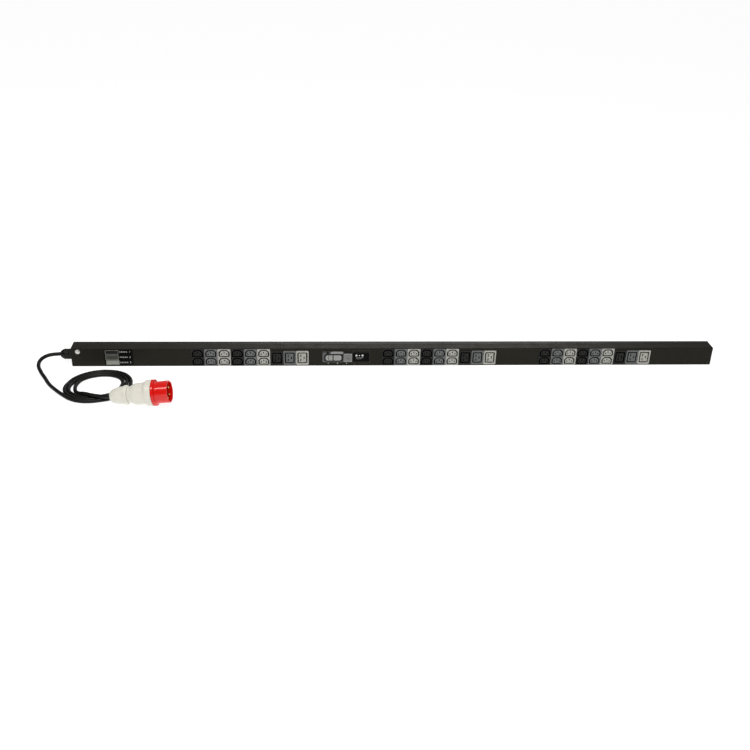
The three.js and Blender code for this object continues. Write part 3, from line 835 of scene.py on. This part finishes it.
for bank in (1, 2, 3):
    for i in range(6):
        outlet(f"bank{bank}_c13_twin_{i + 1}", c13_meshes, TONES[i % 3][0])
    for i in range(3):
        outlet(f"bank{bank}_c19_{i + 1}", c19_meshes, TONES[i][0])


# --------------------------------------------------------------------------- meter panel
def front_place(x, y, z):
    return tuple(at(x, y, z))


b = Build(front_place)
screen_hole = rrect(SCR[0] - 0.3, SCR[1] + 0.3, SCR[2] - 0.3, SCR[3] + 0.3, SCR[4] + 0.3, 8)
key_hole = rrect(KEY_R[0] - 0.4, KEY_R[1] + 0.4, KEY_R[2] - 0.4, KEY_R[3] + 0.4, 1.9, 4)
button_hole = circle(BTN[0], BTN[1], BTN[2] + 0.4, 40)
b.plate(fillet(meter_outline(0), [1.6, 1.6, 1.6, 2.0, 2.0, 1.6], 5), [screen_hole, key_hole, button_hole], -1.5, -GAP, 0.4, 0.3, 4)
piece("meter_base_moulded", b.mesh("meter_base", [MODULE]), replaces="meter_bezel")

# raised light trim: a thin line round the module, an arch over the screen and the frame of the key
b = Build(front_place)
arch = (
    [(-156.2, 37.4), (-154.6, 38.6), (-156.6, 44.0), (-187.0, 44.0), (-191.0, 37.4)]
)
b.plate(fillet(ccw(arch), [0.5, 1.2, 2.2, 4.5, 1.2], 5), [], -2.3, -1.45, 0.35, 0.3, 3)
frame_out = rrect(-155.9 + 2.4, M_X1 - 0.9, M_Z0 + 0.9, M_ZR - 0.9, 1.4, 4)
b.plate(frame_out, [key_hole], -2.3, -1.45, 0.35, 0.3, 3)
piece("meter_trim_moulded", b.mesh("meter_trim", [TRIM]))

b = Build(front_place)
line_o = ccw(fillet([(-210.9, 12.1), (-156.0, 12.1), (-156.0, 13.1), (-209.7, 13.1), (-209.7, 36.4), (-202.2, 36.9), (-202.2, 38.1), (-210.9, 37.5)], 0.4, 3))
b.plate(line_o, [], -1.75, -1.45, 0.12, 0.1, 2)
piece("meter_outline_trim", b.mesh("meter_outline_trim", [INK_GREY]))

# screen: a glossy black frame round the glass, the glass, and what it shows
b = Build(front_place)
glass_open = rrect(SCR[0] + 3.0, SCR[1] - 4.4, SCR[2] + 3.2, SCR[3] - 3.2, 6.4, 8)
b.plate(rrect(SCR[0], SCR[1], SCR[2], SCR[3], SCR[4], 8), [glass_open], -2.2, -0.5, 0.45, 0.55, 4)
piece("screen_frame", b.mesh("screen_frame", [FRAME]), replaces="meter_window")
b = Build(front_place)
b.plate(rrect(SCR[0] + 2, SCR[1] - 2, SCR[2] + 2.4, SCR[3] - 2.4, 4.5, 6), [], -1.4, 3.6, 0.15, 0.1, 2)
piece("screen_glass", b.mesh("screen_glass", [LCD]), replaces="meter_display")

SEGMENTS = {"0": "abcdef", "1": "bc", "2": "abged", "3": "abgcd", "4": "fgbc", "5": "afgcd", "6": "afgedc", "7": "abc", "8": "abcdefg", "9": "abcdfg"}


def seven(b, text, x, z, w, h, t, y0, y1):
    """Seven-segment figures."""
    lean = 0.12
    for ch in text:
        bars = {
            "a": ((0, h), (w, h)), "g": ((0, h / 2), (w, h / 2)), "d": ((0, 0), (w, 0)),
            "f": ((0, h / 2), (0, h)), "b": ((w, h / 2), (w, h)), "e": ((0, 0), (0, h / 2)), "c": ((w, 0), (w, h / 2)),
        }
        for s in SEGMENTS[ch]:
            (ax, az), (bx, bz) = bars[s]
            d = Vector((bx - ax, bz - az)).normalized()
            q = Vector((-d.y, d.x)) * t / 2
            p0, p1 = Vector((ax, az)) + d * t * 0.2, Vector((bx, bz)) - d * t * 0.2
            pts = [p0, p0 + d * t / 2 - q, p1 - d * t / 2 - q, p1, p1 - d * t / 2 + q, p0 + d * t / 2 + q]
            b.plate(ccw([(x + p.x + lean * p.y, z + p.y) for p in pts]), [], y0, y1, 0, 0, 1)
        x += w * 1.75


b = Build(front_place)
b.plate(rrect(-184.2, -181.4, SCR[2] + 3.3, SCR[3] - 3.3, 0.4, 2), [], -1.62, -1.35, 0.05, 0, 1)
b.plate(rrect(-196.2, -194.9, SCR[2] + 4.6, SCR[3] - 4.6, 0.3, 2), [], -1.5, -1.35, 0.05, 0, 1)
piece("screen_divider", b.mesh("screen_divider", [FRAME]))
b = Build(front_place)
seven(b, "230", -177.4, 20.6, 3.0, 6.8, 0.6, -1.43, -1.38)
seven(b, "1", -201.2, 22.0, 2.2, 5.2, 0.5, -1.43, -1.38)
for k in range(4):
    b.plate(rrect(-192.6, -187.0, 19.4 + k * 2.9, 20.6 + k * 2.9, 0.2, 1), [], -1.43, -1.38, 0, 0, 1)
for k in range(3):
    b.plate(rrect(-177.4 + k * 5.2, -174.4 + k * 5.2, 29.4, 30.0, 0.2, 1), [], -1.43, -1.38, 0, 0, 1)
piece("screen_figures", b.mesh("screen_figures", [INK_GREY]))

# select key and round button, each on its own body
b = Build(front_place)
b.plate(rrect(*KEY_R, 1.5, 5), [], -3.0, 1.4, 0.5, 0, 4)
b.plate(rrect(KEY_R[0] - 0.9, KEY_R[1] + 0.9, KEY_R[2] - 0.9, KEY_R[3] + 0.9, 0.4, 2), [], 0.3, 1.5, 0.1, 0, 1)
stem = Build(lambda s, p, q: tuple(at((KEY_R[0] + KEY_R[1]) / 2 + p, s, (KEY_R[2] + KEY_R[3]) / 2 + q)))
stem.lathe([(1.0, 0), (1.0, 1.5), (4.6, 1.5), (4.8, 1.3), (4.8, 0)], 24)
b.merge(stem)
b.mat = 1
kz = (KEY_R[2] + KEY_R[3]) / 2
b.plate(ccw(fillet([(-146.0, kz - 3.0), (-139.0, kz - 3.0), (-142.5, kz + 3.2)], 0.5, 3)), [], -3.06, -2.9, 0.04, 0, 1)
piece("select_key_cap", b.mesh("select_key_cap", [KEY, KEY_MARK]), body="select_key", replaces="select_key")

b = Build(lambda s, p, q: tuple(at(BTN[0] + p, s, BTN[1] + q)))
b.lathe([(-3.02, 0), (-3.02, 1.2), (-3.08, 1.7), (-3.2, 2.05)] + [(-3.2 + 0.45 * (1 - math.cos(a)), 2.35 + 0.45 * math.sin(a)) for a in [k * math.pi / 12 for k in range(1, 7)]]
        + [(0.3, 2.8), (0.3, 3.6), (1.5, 3.6), (1.5, 1.2), (4.6, 1.2), (4.8, 1.0), (4.8, 0)], 48)
piece("round_button_cap", b.mesh("round_button_cap", [BUTTON]), body="round_button", replaces="round_button")

# light guide: a bar behind the face with three domed ends
b = Build(front_place)
b.box(LIGHTS_X[0] - 4, LIGHTS_X[2] + 4, 1.6, 4.2, LIGHTS_Z - 2.2, LIGHTS_Z + 1.6, 0.3, 2)
for x in LIGHTS_X:
    one = Build(lambda s, p, q, x=x: tuple(at(x + p, s, LIGHTS_Z + q)))
    one.lathe([(-0.7, 0)] + [(-0.7 + 0.75 * (1 - math.cos(a)), 1.5 * math.sin(a)) for a in [k * math.pi / 14 for k in range(1, 8)]] + [(1.9, 1.5), (1.9, 0)], 32)
    b.merge(one)
piece("indicator_lights", b.mesh("indicator_lights", [LIGHT]), replaces="indicator_light_guide")

# --------------------------------------------------------------------------- labels
STROKES = {
    "1": [[(0.15, 0.75), (0.5, 1.0), (0.5, 0.0)]],
    "2": [[(0.05, 0.78), (0.15, 0.94), (0.4, 1.0), (0.62, 0.92), (0.7, 0.72), (0.6, 0.5), (0.05, 0.0), (0.72, 0.0)]],
    "3": [[(0.06, 0.86), (0.25, 1.0), (0.52, 0.98), (0.68, 0.8), (0.6, 0.6), (0.32, 0.53), (0.62, 0.44), (0.72, 0.24), (0.56, 0.04), (0.26, 0.0), (0.04, 0.14)]],
}


def stroke(b, points, width, y0, y1):
    """A line of even width, as a thin raised print."""
    pts = [Vector(p) for p in points]
    left, right = [], []
    for i, p in enumerate(pts):
        d0 = (pts[i] - pts[i - 1]).normalized() if i else (pts[1] - pts[0]).normalized()
        d1 = (pts[i + 1] - pts[i]).normalized() if i < len(pts) - 1 else d0
        t = (d0 + d1)
        t = t.normalized() if t.length > 1e-6 else d0
        nrm = Vector((-t.y, t.x))
        k = min(1.6, 1 / max(0.3, nrm.dot(Vector((-d0.y, d0.x)))))
        left.append(p + nrm * width / 2 * k)
        right.append(p - nrm * width / 2 * k)
    rings = []
    for y in (y0, y1):
        rings.append([[b.point((q.x, y, q.y)) for q in left], [b.point((q.x, y, q.y)) for q in right]])
    for l, r in rings:
        b.bridge(l, r, closed=False)
    b.bridge(rings[0][0], rings[1][0], closed=False)
    b.bridge(rings[0][1], rings[1][1], closed=False)
    for k in (0, -1):
        b.face(rings[0][0][k], rings[0][1][k], rings[1][1][k], rings[1][0][k])


def digits(b, text, x, z, h, width, y0, y1):
    for ch in text:
        for line in STROKES[ch]:
            stroke(b, [(x + u * h * 0.9, z + v * h) for u, v in line], width, y0, y1)
        x += h * 0.95


b = Build(front_place)
b.plate(rrect(-801, -725, 3.6, 50.4, 1.5, 5), [], -0.6, -GAP, 0.12, 0, 2)
piece("legend_film", b.mesh("legend_film", [FILM]), replaces="phase_legend_label")
ROWS = ((-798.4, -762.7, 36.3, 49.0, INK_BLACK, 43.9, "1"), (-798.2, -763.3, 19.9, 34.6, INK_DARK, 28.1, "2"), (-797.8, -761.9, 5.0, 19.0, INK_PALE, 12.2, "3"))
outline, words = Build(front_place), Build(front_place)
for x0, x1, z0, z1, fill, zt, figure in ROWS:
    outline.plate(rrect(x0, x1, z0, z1, 1.0, 3), [rrect(x0 + 1.5, x1 - 1.5, z0 + 1.5, z1 - 1.5, 0.5, 3)], -0.66, -0.58, 0, 0, 1)
    s = Build(front_place)
    s.plate(rrect(x0 + 1.5, x1 - 1.5, z0 + 1.5, z1 - 1.5, 0.5, 3), [], -0.64, -0.58, 0, 0, 1)
    piece(f"legend_patch_{figure}", s.mesh(f"legend_patch_{figure}", [fill]))
    for k in range(5):  # a row of dashes in place of a word
        words.plate(rrect(-760.2 + k * 4.5, -757.0 + k * 4.5, zt - 1.7, zt + 1.7, 0.3, 2), [], -0.66, -0.58, 0, 0, 1)
    digits(words, figure, -734.2, zt - 2.4, 4.8, 0.95, -0.66, -0.58)
piece("legend_outlines", outline.mesh("legend_outlines", [INK_LINE]))
piece("legend_figures", words.mesh("legend_figures", [INK_TEXT]))

b = Build(front_place)
b.plate(rrect(-128.5, -83.0, 14.0, 39.4, 1.2, 4), [], -0.7, -GAP, 0.15, 0, 2)
piece("name_plate", b.mesh("name_plate", [FILM]), replaces="name_label")
b = Build(front_place)
for x, r in ((-118.2, 2.7), (-110.2, 1.7), (-101.8, 2.9)):  # three dots, one for each phase, and two rules
    b.plate(circle(x, 31.8, r, 32), [], -0.76, -0.68, 0, 0, 1)
piece("name_plate_dots", b.mesh("name_plate_dots", [INK_WHITE]))
b = Build(front_place)
b.plate(rrect(-119.6, -99.4, 24.0, 25.6, 0.3, 2), [], -0.76, -0.68, 0, 0, 1)
b.plate(rrect(-119.6, -104.4, 20.8, 21.8, 0.3, 2), [], -0.76, -0.68, 0, 0, 1)
piece("name_plate_rule", b.mesh("name_plate_rule", [INK_GREY]))
b = Build(front_place)  # the clear film that covers the plate shows as a thin line round it: a light grey ring, a painted highlight of its edge
b.plate(rrect(-129.6, -81.6, 7.8, 46.6, 1.6, 4), [rrect(-128.8, -82.4, 8.6, 45.8, 1.0, 4)], -0.42, -0.25, 0.06, 0, 1)
piece("name_film_edge", b.mesh("name_film_edge", [FILM_EDGE_HIGHLIGHT]))

# --------------------------------------------------------------------------- earth screw
b = Build(lambda s, p, q: tuple(at(SCREW[0] + p, s, SCREW[1] + q)))


def toothed(s, r, t):
    if r < 6.2:
        return r
    return r - 0.55 * max(0.0, math.cos(16 * t)) ** 2


b.lathe(smooth_pairs([(-0.3, 2.9), (-0.3, 6.5), (-1.15, 6.5), (-1.3, 2.9)], 2, 0.1), 128, toothed, closed=True)
piece("ground_washer_toothed", b.mesh("ground_washer", [STEEL]), replaces="ground_washer")


def screw_head():
    """Pan head with a cross recess, turned about the screw's axis."""
    b = Build(lambda s, p, q: tuple(at(SCREW[0] + p, s, SCREW[1] + q)))
    n = 96
    # the recess: at each level its outline is a cross whose arms narrow with depth
    def cross(arm, half):
        pts = []
        for k in range(4):
            a = math.radians(45 + 90 * k)
            u, v = Vector((math.cos(a), math.sin(a))), Vector((-math.sin(a), math.cos(a)))
            pts += [tuple(u * half * 1.15 - v * half), tuple(u * arm - v * half), tuple(u * arm + v * half)]
        return pts
    out = []
    levels = [(-4.0, 2.7, 0.62), (-3.2, 2.2, 0.52), (-2.2, 1.2, 0.35)]
    rings = []
    for s, arm, half in levels:
        rings.append([b.point((s, p, q)) for p, q in cross(arm, half)])
    for x, y in zip(rings, rings[1:]):
        b.bridge(x, y)
    b.cap(rings[-1])
    dome = [(-4.02, 3.0), (-3.85, 3.7), (-3.5, 4.25), (-3.0, 4.65), (-2.3, 4.8), (-1.75, 4.8), (-1.6, 4.65), (-1.6, 2.4), (9.4, 2.4), (10.0, 1.9), (10.0, 0)]
    prof = []
    for s, r in dome:
        if r == 0:
            tip = b.point((s, 0, 0))
            prof.append([tip])
        else:
            prof.append([b.point((s, r * math.cos(2 * math.pi * i / n), r * math.sin(2 * math.pi * i / n))) for i in range(n)])
    for x, y in zip(prof, prof[1:]):
        if len(y) == 1:
            for i in range(n):
                b.face(y[0], x[i], x[(i + 1) % n])
        else:
            b.bridge(x, y)
    b.cap(prof[0], [rings[0]])
    return b


piece("ground_screw_cross", screw_head().mesh("ground_screw", [STEEL]), replaces="ground_screw")


# --------------------------------------------------------------------------- gland
def gland_place(s, p, q):
    return tuple(at(s, 23.0 + p, 27.0 + q))


def hexed(af, limit):
    """A hexagon across flats af, cut off by a circle of the profile's own radius r; limit is not used."""
    def radius(s, r, t):
        a = (t + math.pi / 6) % (math.pi / 3) - math.pi / 6
        return min(af / 2 / math.cos(a), r)
    return radius


x0 = -HALF
b = Build(gland_place)
hexr = hexed(28.0, None)
b.lathe([(x0 - 0.3, 9.0), (x0 - 0.3, 14.6), (x0 - 0.9, 15.6), (x0 - 1.5, 16.2), (x0 - 7.2, 16.2), (x0 - 7.7, 15.6), (x0 - 8.3, 14.4), (x0 - 8.3, 10.9),
         (x0 - 9.0, 10.6), (x0 - 19.0, 10.6), (x0 - 19.0, 5.6), (x0 - 9.0, 5.6)], 144,
        lambda s, r, t: hexr(s, r, t) if r > 13.9 else r, closed=True)
thread = [(x0 - 0.2, 12.1)]
for k in range(6):
    thread += [(x0 + 0.4 + k * 1.5, 12.1), (x0 + 1.1 + k * 1.5, 11.3)]
tb = Build(gland_place)
tb.lathe(thread + [(x0 + 9.5, 12.0), (x0 + 9.5, 5.6), (x0 - 0.2, 5.6)], 72, closed=True)
b.merge(tb)
gland_body = piece("gland_body_nylon", b.mesh("gland_body", [NYLON], 28), replaces="gland_body")

e = x0 - 32.0


def domed(s, r, t):
    """Six broad flats on the nut's waist that run out on its dome."""
    if s < e + 9.5 or r < 11.5:
        return r
    k = min(1.0, (s - e - 9.5) / 4.0)
    a = (t + math.pi / 6) % (math.pi / 3) - math.pi / 6
    flat = 14.05 / math.cos(a)
    flute = 0.25 * (0.5 + 0.5 * math.cos(36 * t)) * k
    return min(r, flat * k + r * (1 - k)) - flute


prof = smooth_pairs([(e + 0.4, 5.5), (e, 6.2), (e, 7.4), (e + 2, 9.6), (e + 6, 12.4), (e + 11, 14.5), (e + 15, 15.2), (e + 22.2, 15.2), (e + 23, 14.4), (e + 23, 11.2)], 5, [0, 0.4, 0.8, 6, 8, 8, 4, 0.6, 0.3, 0])
dense = []
for (s1, r1), (s2, r2) in zip(prof, prof[1:]):
    k = max(1, int(abs(s2 - s1) / 1.2))
    dense += [(s1 + (s2 - s1) * i / k, r1 + (r2 - r1) * i / k) for i in range(k)]
dense.append(prof[-1])
b = Build(gland_place)
b.lathe(dense + [(e + 11, 11.0), (e + 9, 5.6)], 144, domed, closed=True)
gland_nut = piece("gland_dome_nut_nylon", b.mesh("gland_dome_nut", [NYLON], 28), replaces="gland_dome_nut")

b = Build(gland_place)
b.lathe([(e - 0.0, 5.05), (e - 0.0, 5.4), (e + 0.15, 5.9), (e + 0.3, 6.3), (e + 1.5, 6.3), (e + 1.5, 5.05)], 72, closed=True)
gland_seal = piece("gland_seal_ring", b.mesh("gland_seal", [SEAL]))

b = Build(gland_place)
lock = hexed(30.0, None)
b.lathe([(x0 + 2.3, 12.5), (x0 + 2.3, 15.4), (x0 + 3.0, 16.8), (x0 + 6.6, 16.8), (x0 + 7.3, 15.4), (x0 + 7.3, 12.5)], 120, lambda s, r, t: lock(s, r, t) if r > 14 else r, closed=True)
gland_lock = piece("gland_locknut_nylon", b.mesh("gland_locknut", [NYLON], 28), replaces="gland_locknut")

# --------------------------------------------------------------------------- plug
PLUG = (Matrix.Translation(at(-748.5, -205.0, 19.98)) @ Matrix.Rotation(math.radians(-6.0), 4, "Z")
        @ Matrix.Rotation(math.radians(-8.3), 4, "Y"))
PLUG_LEN = 152.8


def plug_place(s, p, q):
    v = PLUG @ Vector((s * MM, p * MM, q * MM))
    return tuple(v)


def densify(profile, step=1.5):
    out = []
    for (s1, r1), (s2, r2) in zip(profile, profile[1:]):
        k = max(1, int(math.hypot(s2 - s1, r2 - r1) / step))
        out += [(s1 + (s2 - s1) * i / k, r1 + (r2 - r1) * i / k) for i in range(k)]
    out.append(profile[-1])
    return out


# clamp nut: a fluted cone with a ribbed grip ring
def fluted(s, r, t):
    if r < 6.5 or s > 47.2:
        return r
    if 37.5 <= s <= 45.6 and r > 24:
        return r - 0.55 * (0.5 + 0.5 * math.cos(30 * t)) ** 2
    if 5 < s < 36.5 and r > 13:
        k = min(1.0, (s - 5) / 6.0) * min(1.0, (36.5 - s) / 4.0)
        return r - 0.75 * k * (0.5 + 0.5 * math.cos(10 * t)) ** 3
    return r


outer = smooth_pairs([(0.5, 5.4), (0, 6.2), (0, 11.6), (2, 14.6), (7.5, 18.0), (18, 21.6), (36, 23.4), (37.4, 23.9), (38.2, 25), (44.8, 25), (46.0, 23.8), (47, 22.6), (47, 15)], 5,
                     [0, 0.4, 1.2, 5, 12, 20, 1.0, 0.8, 0.6, 0.8, 0.8, 0.5, 0])
b = Build(plug_place)
b.lathe(densify(outer) + [(10, 15), (8, 5.4)], 180, fluted, closed=True)
plug_nut = piece("plug_clamp_nut_moulded", b.mesh("plug_clamp_nut", [SHELL], 34), replaces="plug_clamp_nut")


# body: a neck, a barrel with four low grip ribs and a flare
def barrel(s, r, t):
    if s < 50 or s > 111.5 or r < 19 or (s > 65.5 and r < 25.2):
        return r
    if 64 <= s <= 86:
        k = min(1.0, (s - 64) / 6.0) * min(1.0, (86 - s) / 5.0)
        for a in (40, 130, 220, 310):
            d = abs((math.degrees(t) - a + 180) % 360 - 180)
            if d < 9:
                r += 0.55 * k * (0.5 + 0.5 * math.cos(math.pi * d / 9))
    seam = min(abs((math.degrees(t) - a + 180) % 360 - 180) for a in (85, 265))
    if seam < 1.2:
        r += 0.12
    return r


outer = smooth_pairs([(47.4, 14.6), (47.4, 20.6), (48.2, 21.3), (54, 22.1), (60, 25.2), (66, 27.8), (87.4, 28.6), (88.0, 29.1), (89.2, 29.2), (96.2, 33.2), (97.4, 33.9), (111.3, 34.0), (111.3, 25)], 5,
                     [0, 0.4, 0.4, 8, 14, 14, 0.3, 0.3, 3, 3, 1.2, 0.5, 0])
b = Build(plug_place)
b.lathe([(60, 11.5), (30, 11.5), (30, 14.6)] + densify(outer) + [(93, 23), (66, 22)], 180, barrel, closed=True)
plug_body = piece("plug_body_moulded", b.mesh("plug_body", [SHELL], 34), replaces="plug_body")


# shroud: collar with two lugs, a slightly flared tube with its key rib, and the inner key way
def collar(s, r, t):
    deg = math.degrees(t)
    if 112.2 < s < 118.5 and r > 32.6:
        for a, h in ((90, 2.2), (270, 0.7)):  # lugs that the mating socket's lid catches on
            d = abs((deg - a + 180) % 360 - 180)
            if d < 7:
                return r + h * min(1.0, (7 - d) / 1.0)
        return r
    if s > 120.5 and r > 26.5:
        for a, w, h in ((-70 + 90, 5.0, 2.0),):
            d = abs((deg - a + 180) % 360 - 180)
            if d < w:
                return min(r + h * min(1.0, (w - d) / 1.2), 30.0)
    if 120.5 < s < 152.3 and r < 26:
        d = abs((deg - 20 + 180) % 360 - 180)
        if d < 5:
            return r + 0.7 * min(1.0, (5 - d) / 1.2)
    return r


outer = smooth_pairs([(111.6, 24.9), (111.6, 32.6), (112.4, 33.5), (118.1, 33.5), (118.8, 32.4), (119.8, 28.6), (121.1, 27.6), (151.4, 28.2), (152.8, 27.6), (152.8, 26.0), (151.6, 25.3), (120.1, 24.9)], 4,
                     [0, 0.6, 0.6, 0.8, 0.8, 0.8, 1.0, 0.7, 0.6, 0.6, 0.6, 0])
b = Build(plug_place)
b.lathe(densify(outer, 3.0), 216, collar, closed=True)
plug_shroud = piece("plug_shroud_moulded", b.mesh("plug_shroud", [RED], 34), replaces="plug_shroud")

# carrier with raised bosses round its pins
ANGLES = [math.radians(a + 20) for a in (0, 72, 144, 216, 288)]
USES = ("earth", "line_1", "line_2", "line_3", "neutral")
b = Build(lambda p, s, q: plug_place(s, p, q))
pin_r = [3.5, 2.5, 2.5, 2.5, 2.5]
holes = [circle(15.5 * math.cos(a), 15.5 * math.sin(a), r + 0.35, 32) for a, r in zip(ANGLES, pin_r)]
rings = [b.wall(ccw(circle(0, 0, 24.5, 96)), [(0, 112.1), (0, 120.6), (-0.4, 121.0)])]
hr = [b.wall(ccw(h), [(0, 112.1), (0, 120.7), (0.3, 121.0)]) for h in holes]
b.cap(rings[0][0], [h[0] for h in hr])
b.cap(rings[0][-1], [h[-1] for h in hr])
for a, r in zip(ANGLES, pin_r):
    c = (15.5 * math.cos(a), 15.5 * math.sin(a))
    o = b.wall(ccw(circle(*c, r + 1.9, 40)), [(0.4, 120.9), (0, 122.1), (-0.3, 122.5)])
    i = b.wall(ccw(circle(*c, r + 0.45, 40)), [(0, 120.9), (0, 122.5)])
    b.cap(o[0], [i[0]])
    b.cap(o[-1], [i[-1]])
plug_carrier = piece("plug_pin_carrier_moulded", b.mesh("plug_pin_carrier", [RED_IN_SHADED]), replaces="plug_pin_carrier")

for a, r, use in zip(ANGLES, pin_r, USES):
    c = (15.5 * math.cos(a), 15.5 * math.sin(a))
    b = Build(lambda s, p, q, c=c: plug_place(s, p + c[0], q + c[1]))
    tip = PLUG_LEN - 4.6
    b.lathe([(103.5, 0), (103.5, r - 0.2), (103.7, r)] + [(108 + 8 * k, r) for k in range(5)]
            + [(tip - 1.8, r), (tip - 0.9, r * 0.9), (tip - 0.3, r * 0.68), (tip, r * 0.4), (tip, 0)], 48)
    piece(f"plug_pin_{use}_turned", b.mesh(f"plug_pin_{use}", [BRASS]), replaces=f"plug_pin_{use}")

# --------------------------------------------------------------------------- inside the housing
INSIDE = {"meter_board": BOARD}
for node, material in INSIDE.items():
    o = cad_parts[node]
    o.data.materials.clear()
    o.data.materials.append(material)
    bev = o.modifiers.new("edges", "BEVEL")
    bev.width = 0.0003
    bev.segments = 2
    bev.limit_method = "ANGLE"
    bev.angle_limit = math.radians(40)

# --------------------------------------------------------------------------- floor and light
floor_mat = Mat("floor_white", (0.34, 0.34, 0.34, 1.0), 0.9)
fn = floor_mat.noise(3.0, 2.0)
floor_mat.colour(floor_mat.mix(floor_mat.ramp(fn.outputs["Fac"], 0.3, 0.7, 0.0, 1.0), (0.34, 0.34, 0.34, 1.0), (0.35, 0.35, 0.35, 1.0)))
# the white sheet is lit from behind as well, so it stays white far away
floor_mat.p.inputs["Emission Color"].default_value = (1.0, 1.0, 1.0, 1.0)
floor_mat.p.inputs["Emission Strength"].default_value = 0.89
me = bpy.data.meshes.new("floor")
me.from_pydata([(-30, -30, 0), (30, -30, 0), (30, 30, 0), (-30, 30, 0)], [], [(0, 1, 2, 3)])
me.materials.append(floor_mat.m)
floor = bpy.data.objects.new("floor", me)
scene.collection.objects.link(floor)
floor.location.z = FLOOR_Z

world = bpy.data.worlds.new("world")
scene.world = world
world.use_nodes = True
wt = world.node_tree
bg = wt.nodes["Background"]
bg.inputs["Strength"].default_value = 0.54
# a studio: bright overhead and behind, dimmer to the sides and in front
wc = wt.nodes.new("ShaderNodeTexCoord")
split = wt.nodes.new("ShaderNodeSeparateXYZ")
wt.links.new(wc.outputs["Generated"], split.inputs["Vector"])


def world_math(op, a, b=None, c=None):
    n = wt.nodes.new("ShaderNodeMath")
    n.operation = op
    for i, v in enumerate((a, b, c)):
        if v is None:
            continue
        if isinstance(v, (int, float)):
            n.inputs[i].default_value = v
        else:
            wt.links.new(v, n.inputs[i])
    return n.outputs[0]


side = world_math("ABSOLUTE", world_math("SUBTRACT", split.outputs["X"], 0.04))
fall = world_math("SUBTRACT", 1.0, world_math("MULTIPLY", world_math("POWER", side, 1.5), 1.9))
front = world_math("MULTIPLY_ADD", split.outputs["Y"], 0.35, 0.75)
level = world_math("MAXIMUM", world_math("MULTIPLY", fall, front), 0.12)
grey = wt.nodes.new("ShaderNodeCombineColor")
for k in range(3):
    wt.links.new(level, grey.inputs[k])
wt.links.new(grey.outputs[0], bg.inputs["Color"])


def area(name, where, target, size, power, colour=(1, 1, 1)):
    l = bpy.data.lights.new(name, "AREA")
    l.shape = "RECTANGLE"
    l.size, l.size_y = size
    l.energy = power
    l.color = colour
    o = bpy.data.objects.new(name, l)
    scene.collection.objects.link(o)
    o.location = where
    o.rotation_euler = (Vector(target) - Vector(where)).to_track_quat("-Z", "Y").to_euler()
    return o


area("key_softbox", (-0.2, -1.2, 2.6), (-0.1, 0.0, 0.0), (2.4, 1.2), 54.0, (1.0, 0.985, 0.96))
area("top_softbox", (-2.05, -1.15, 2.6), (-0.63, -0.2, 0.05), (0.36, 0.26), 11.0, (1.0, 0.99, 0.97))
area("rear_softbox", (0.3, 1.6, 1.0), (0.2, 0.0, 0.05), (1.7, 0.6), 8.0, (1.0, 0.99, 0.96))

scene.view_settings.view_transform = "Standard"
scene.view_settings.look = "None"
scene.view_settings.exposure = 0.0
scene.view_settings.gamma = 1.0

bpy.context.view_layer.update()
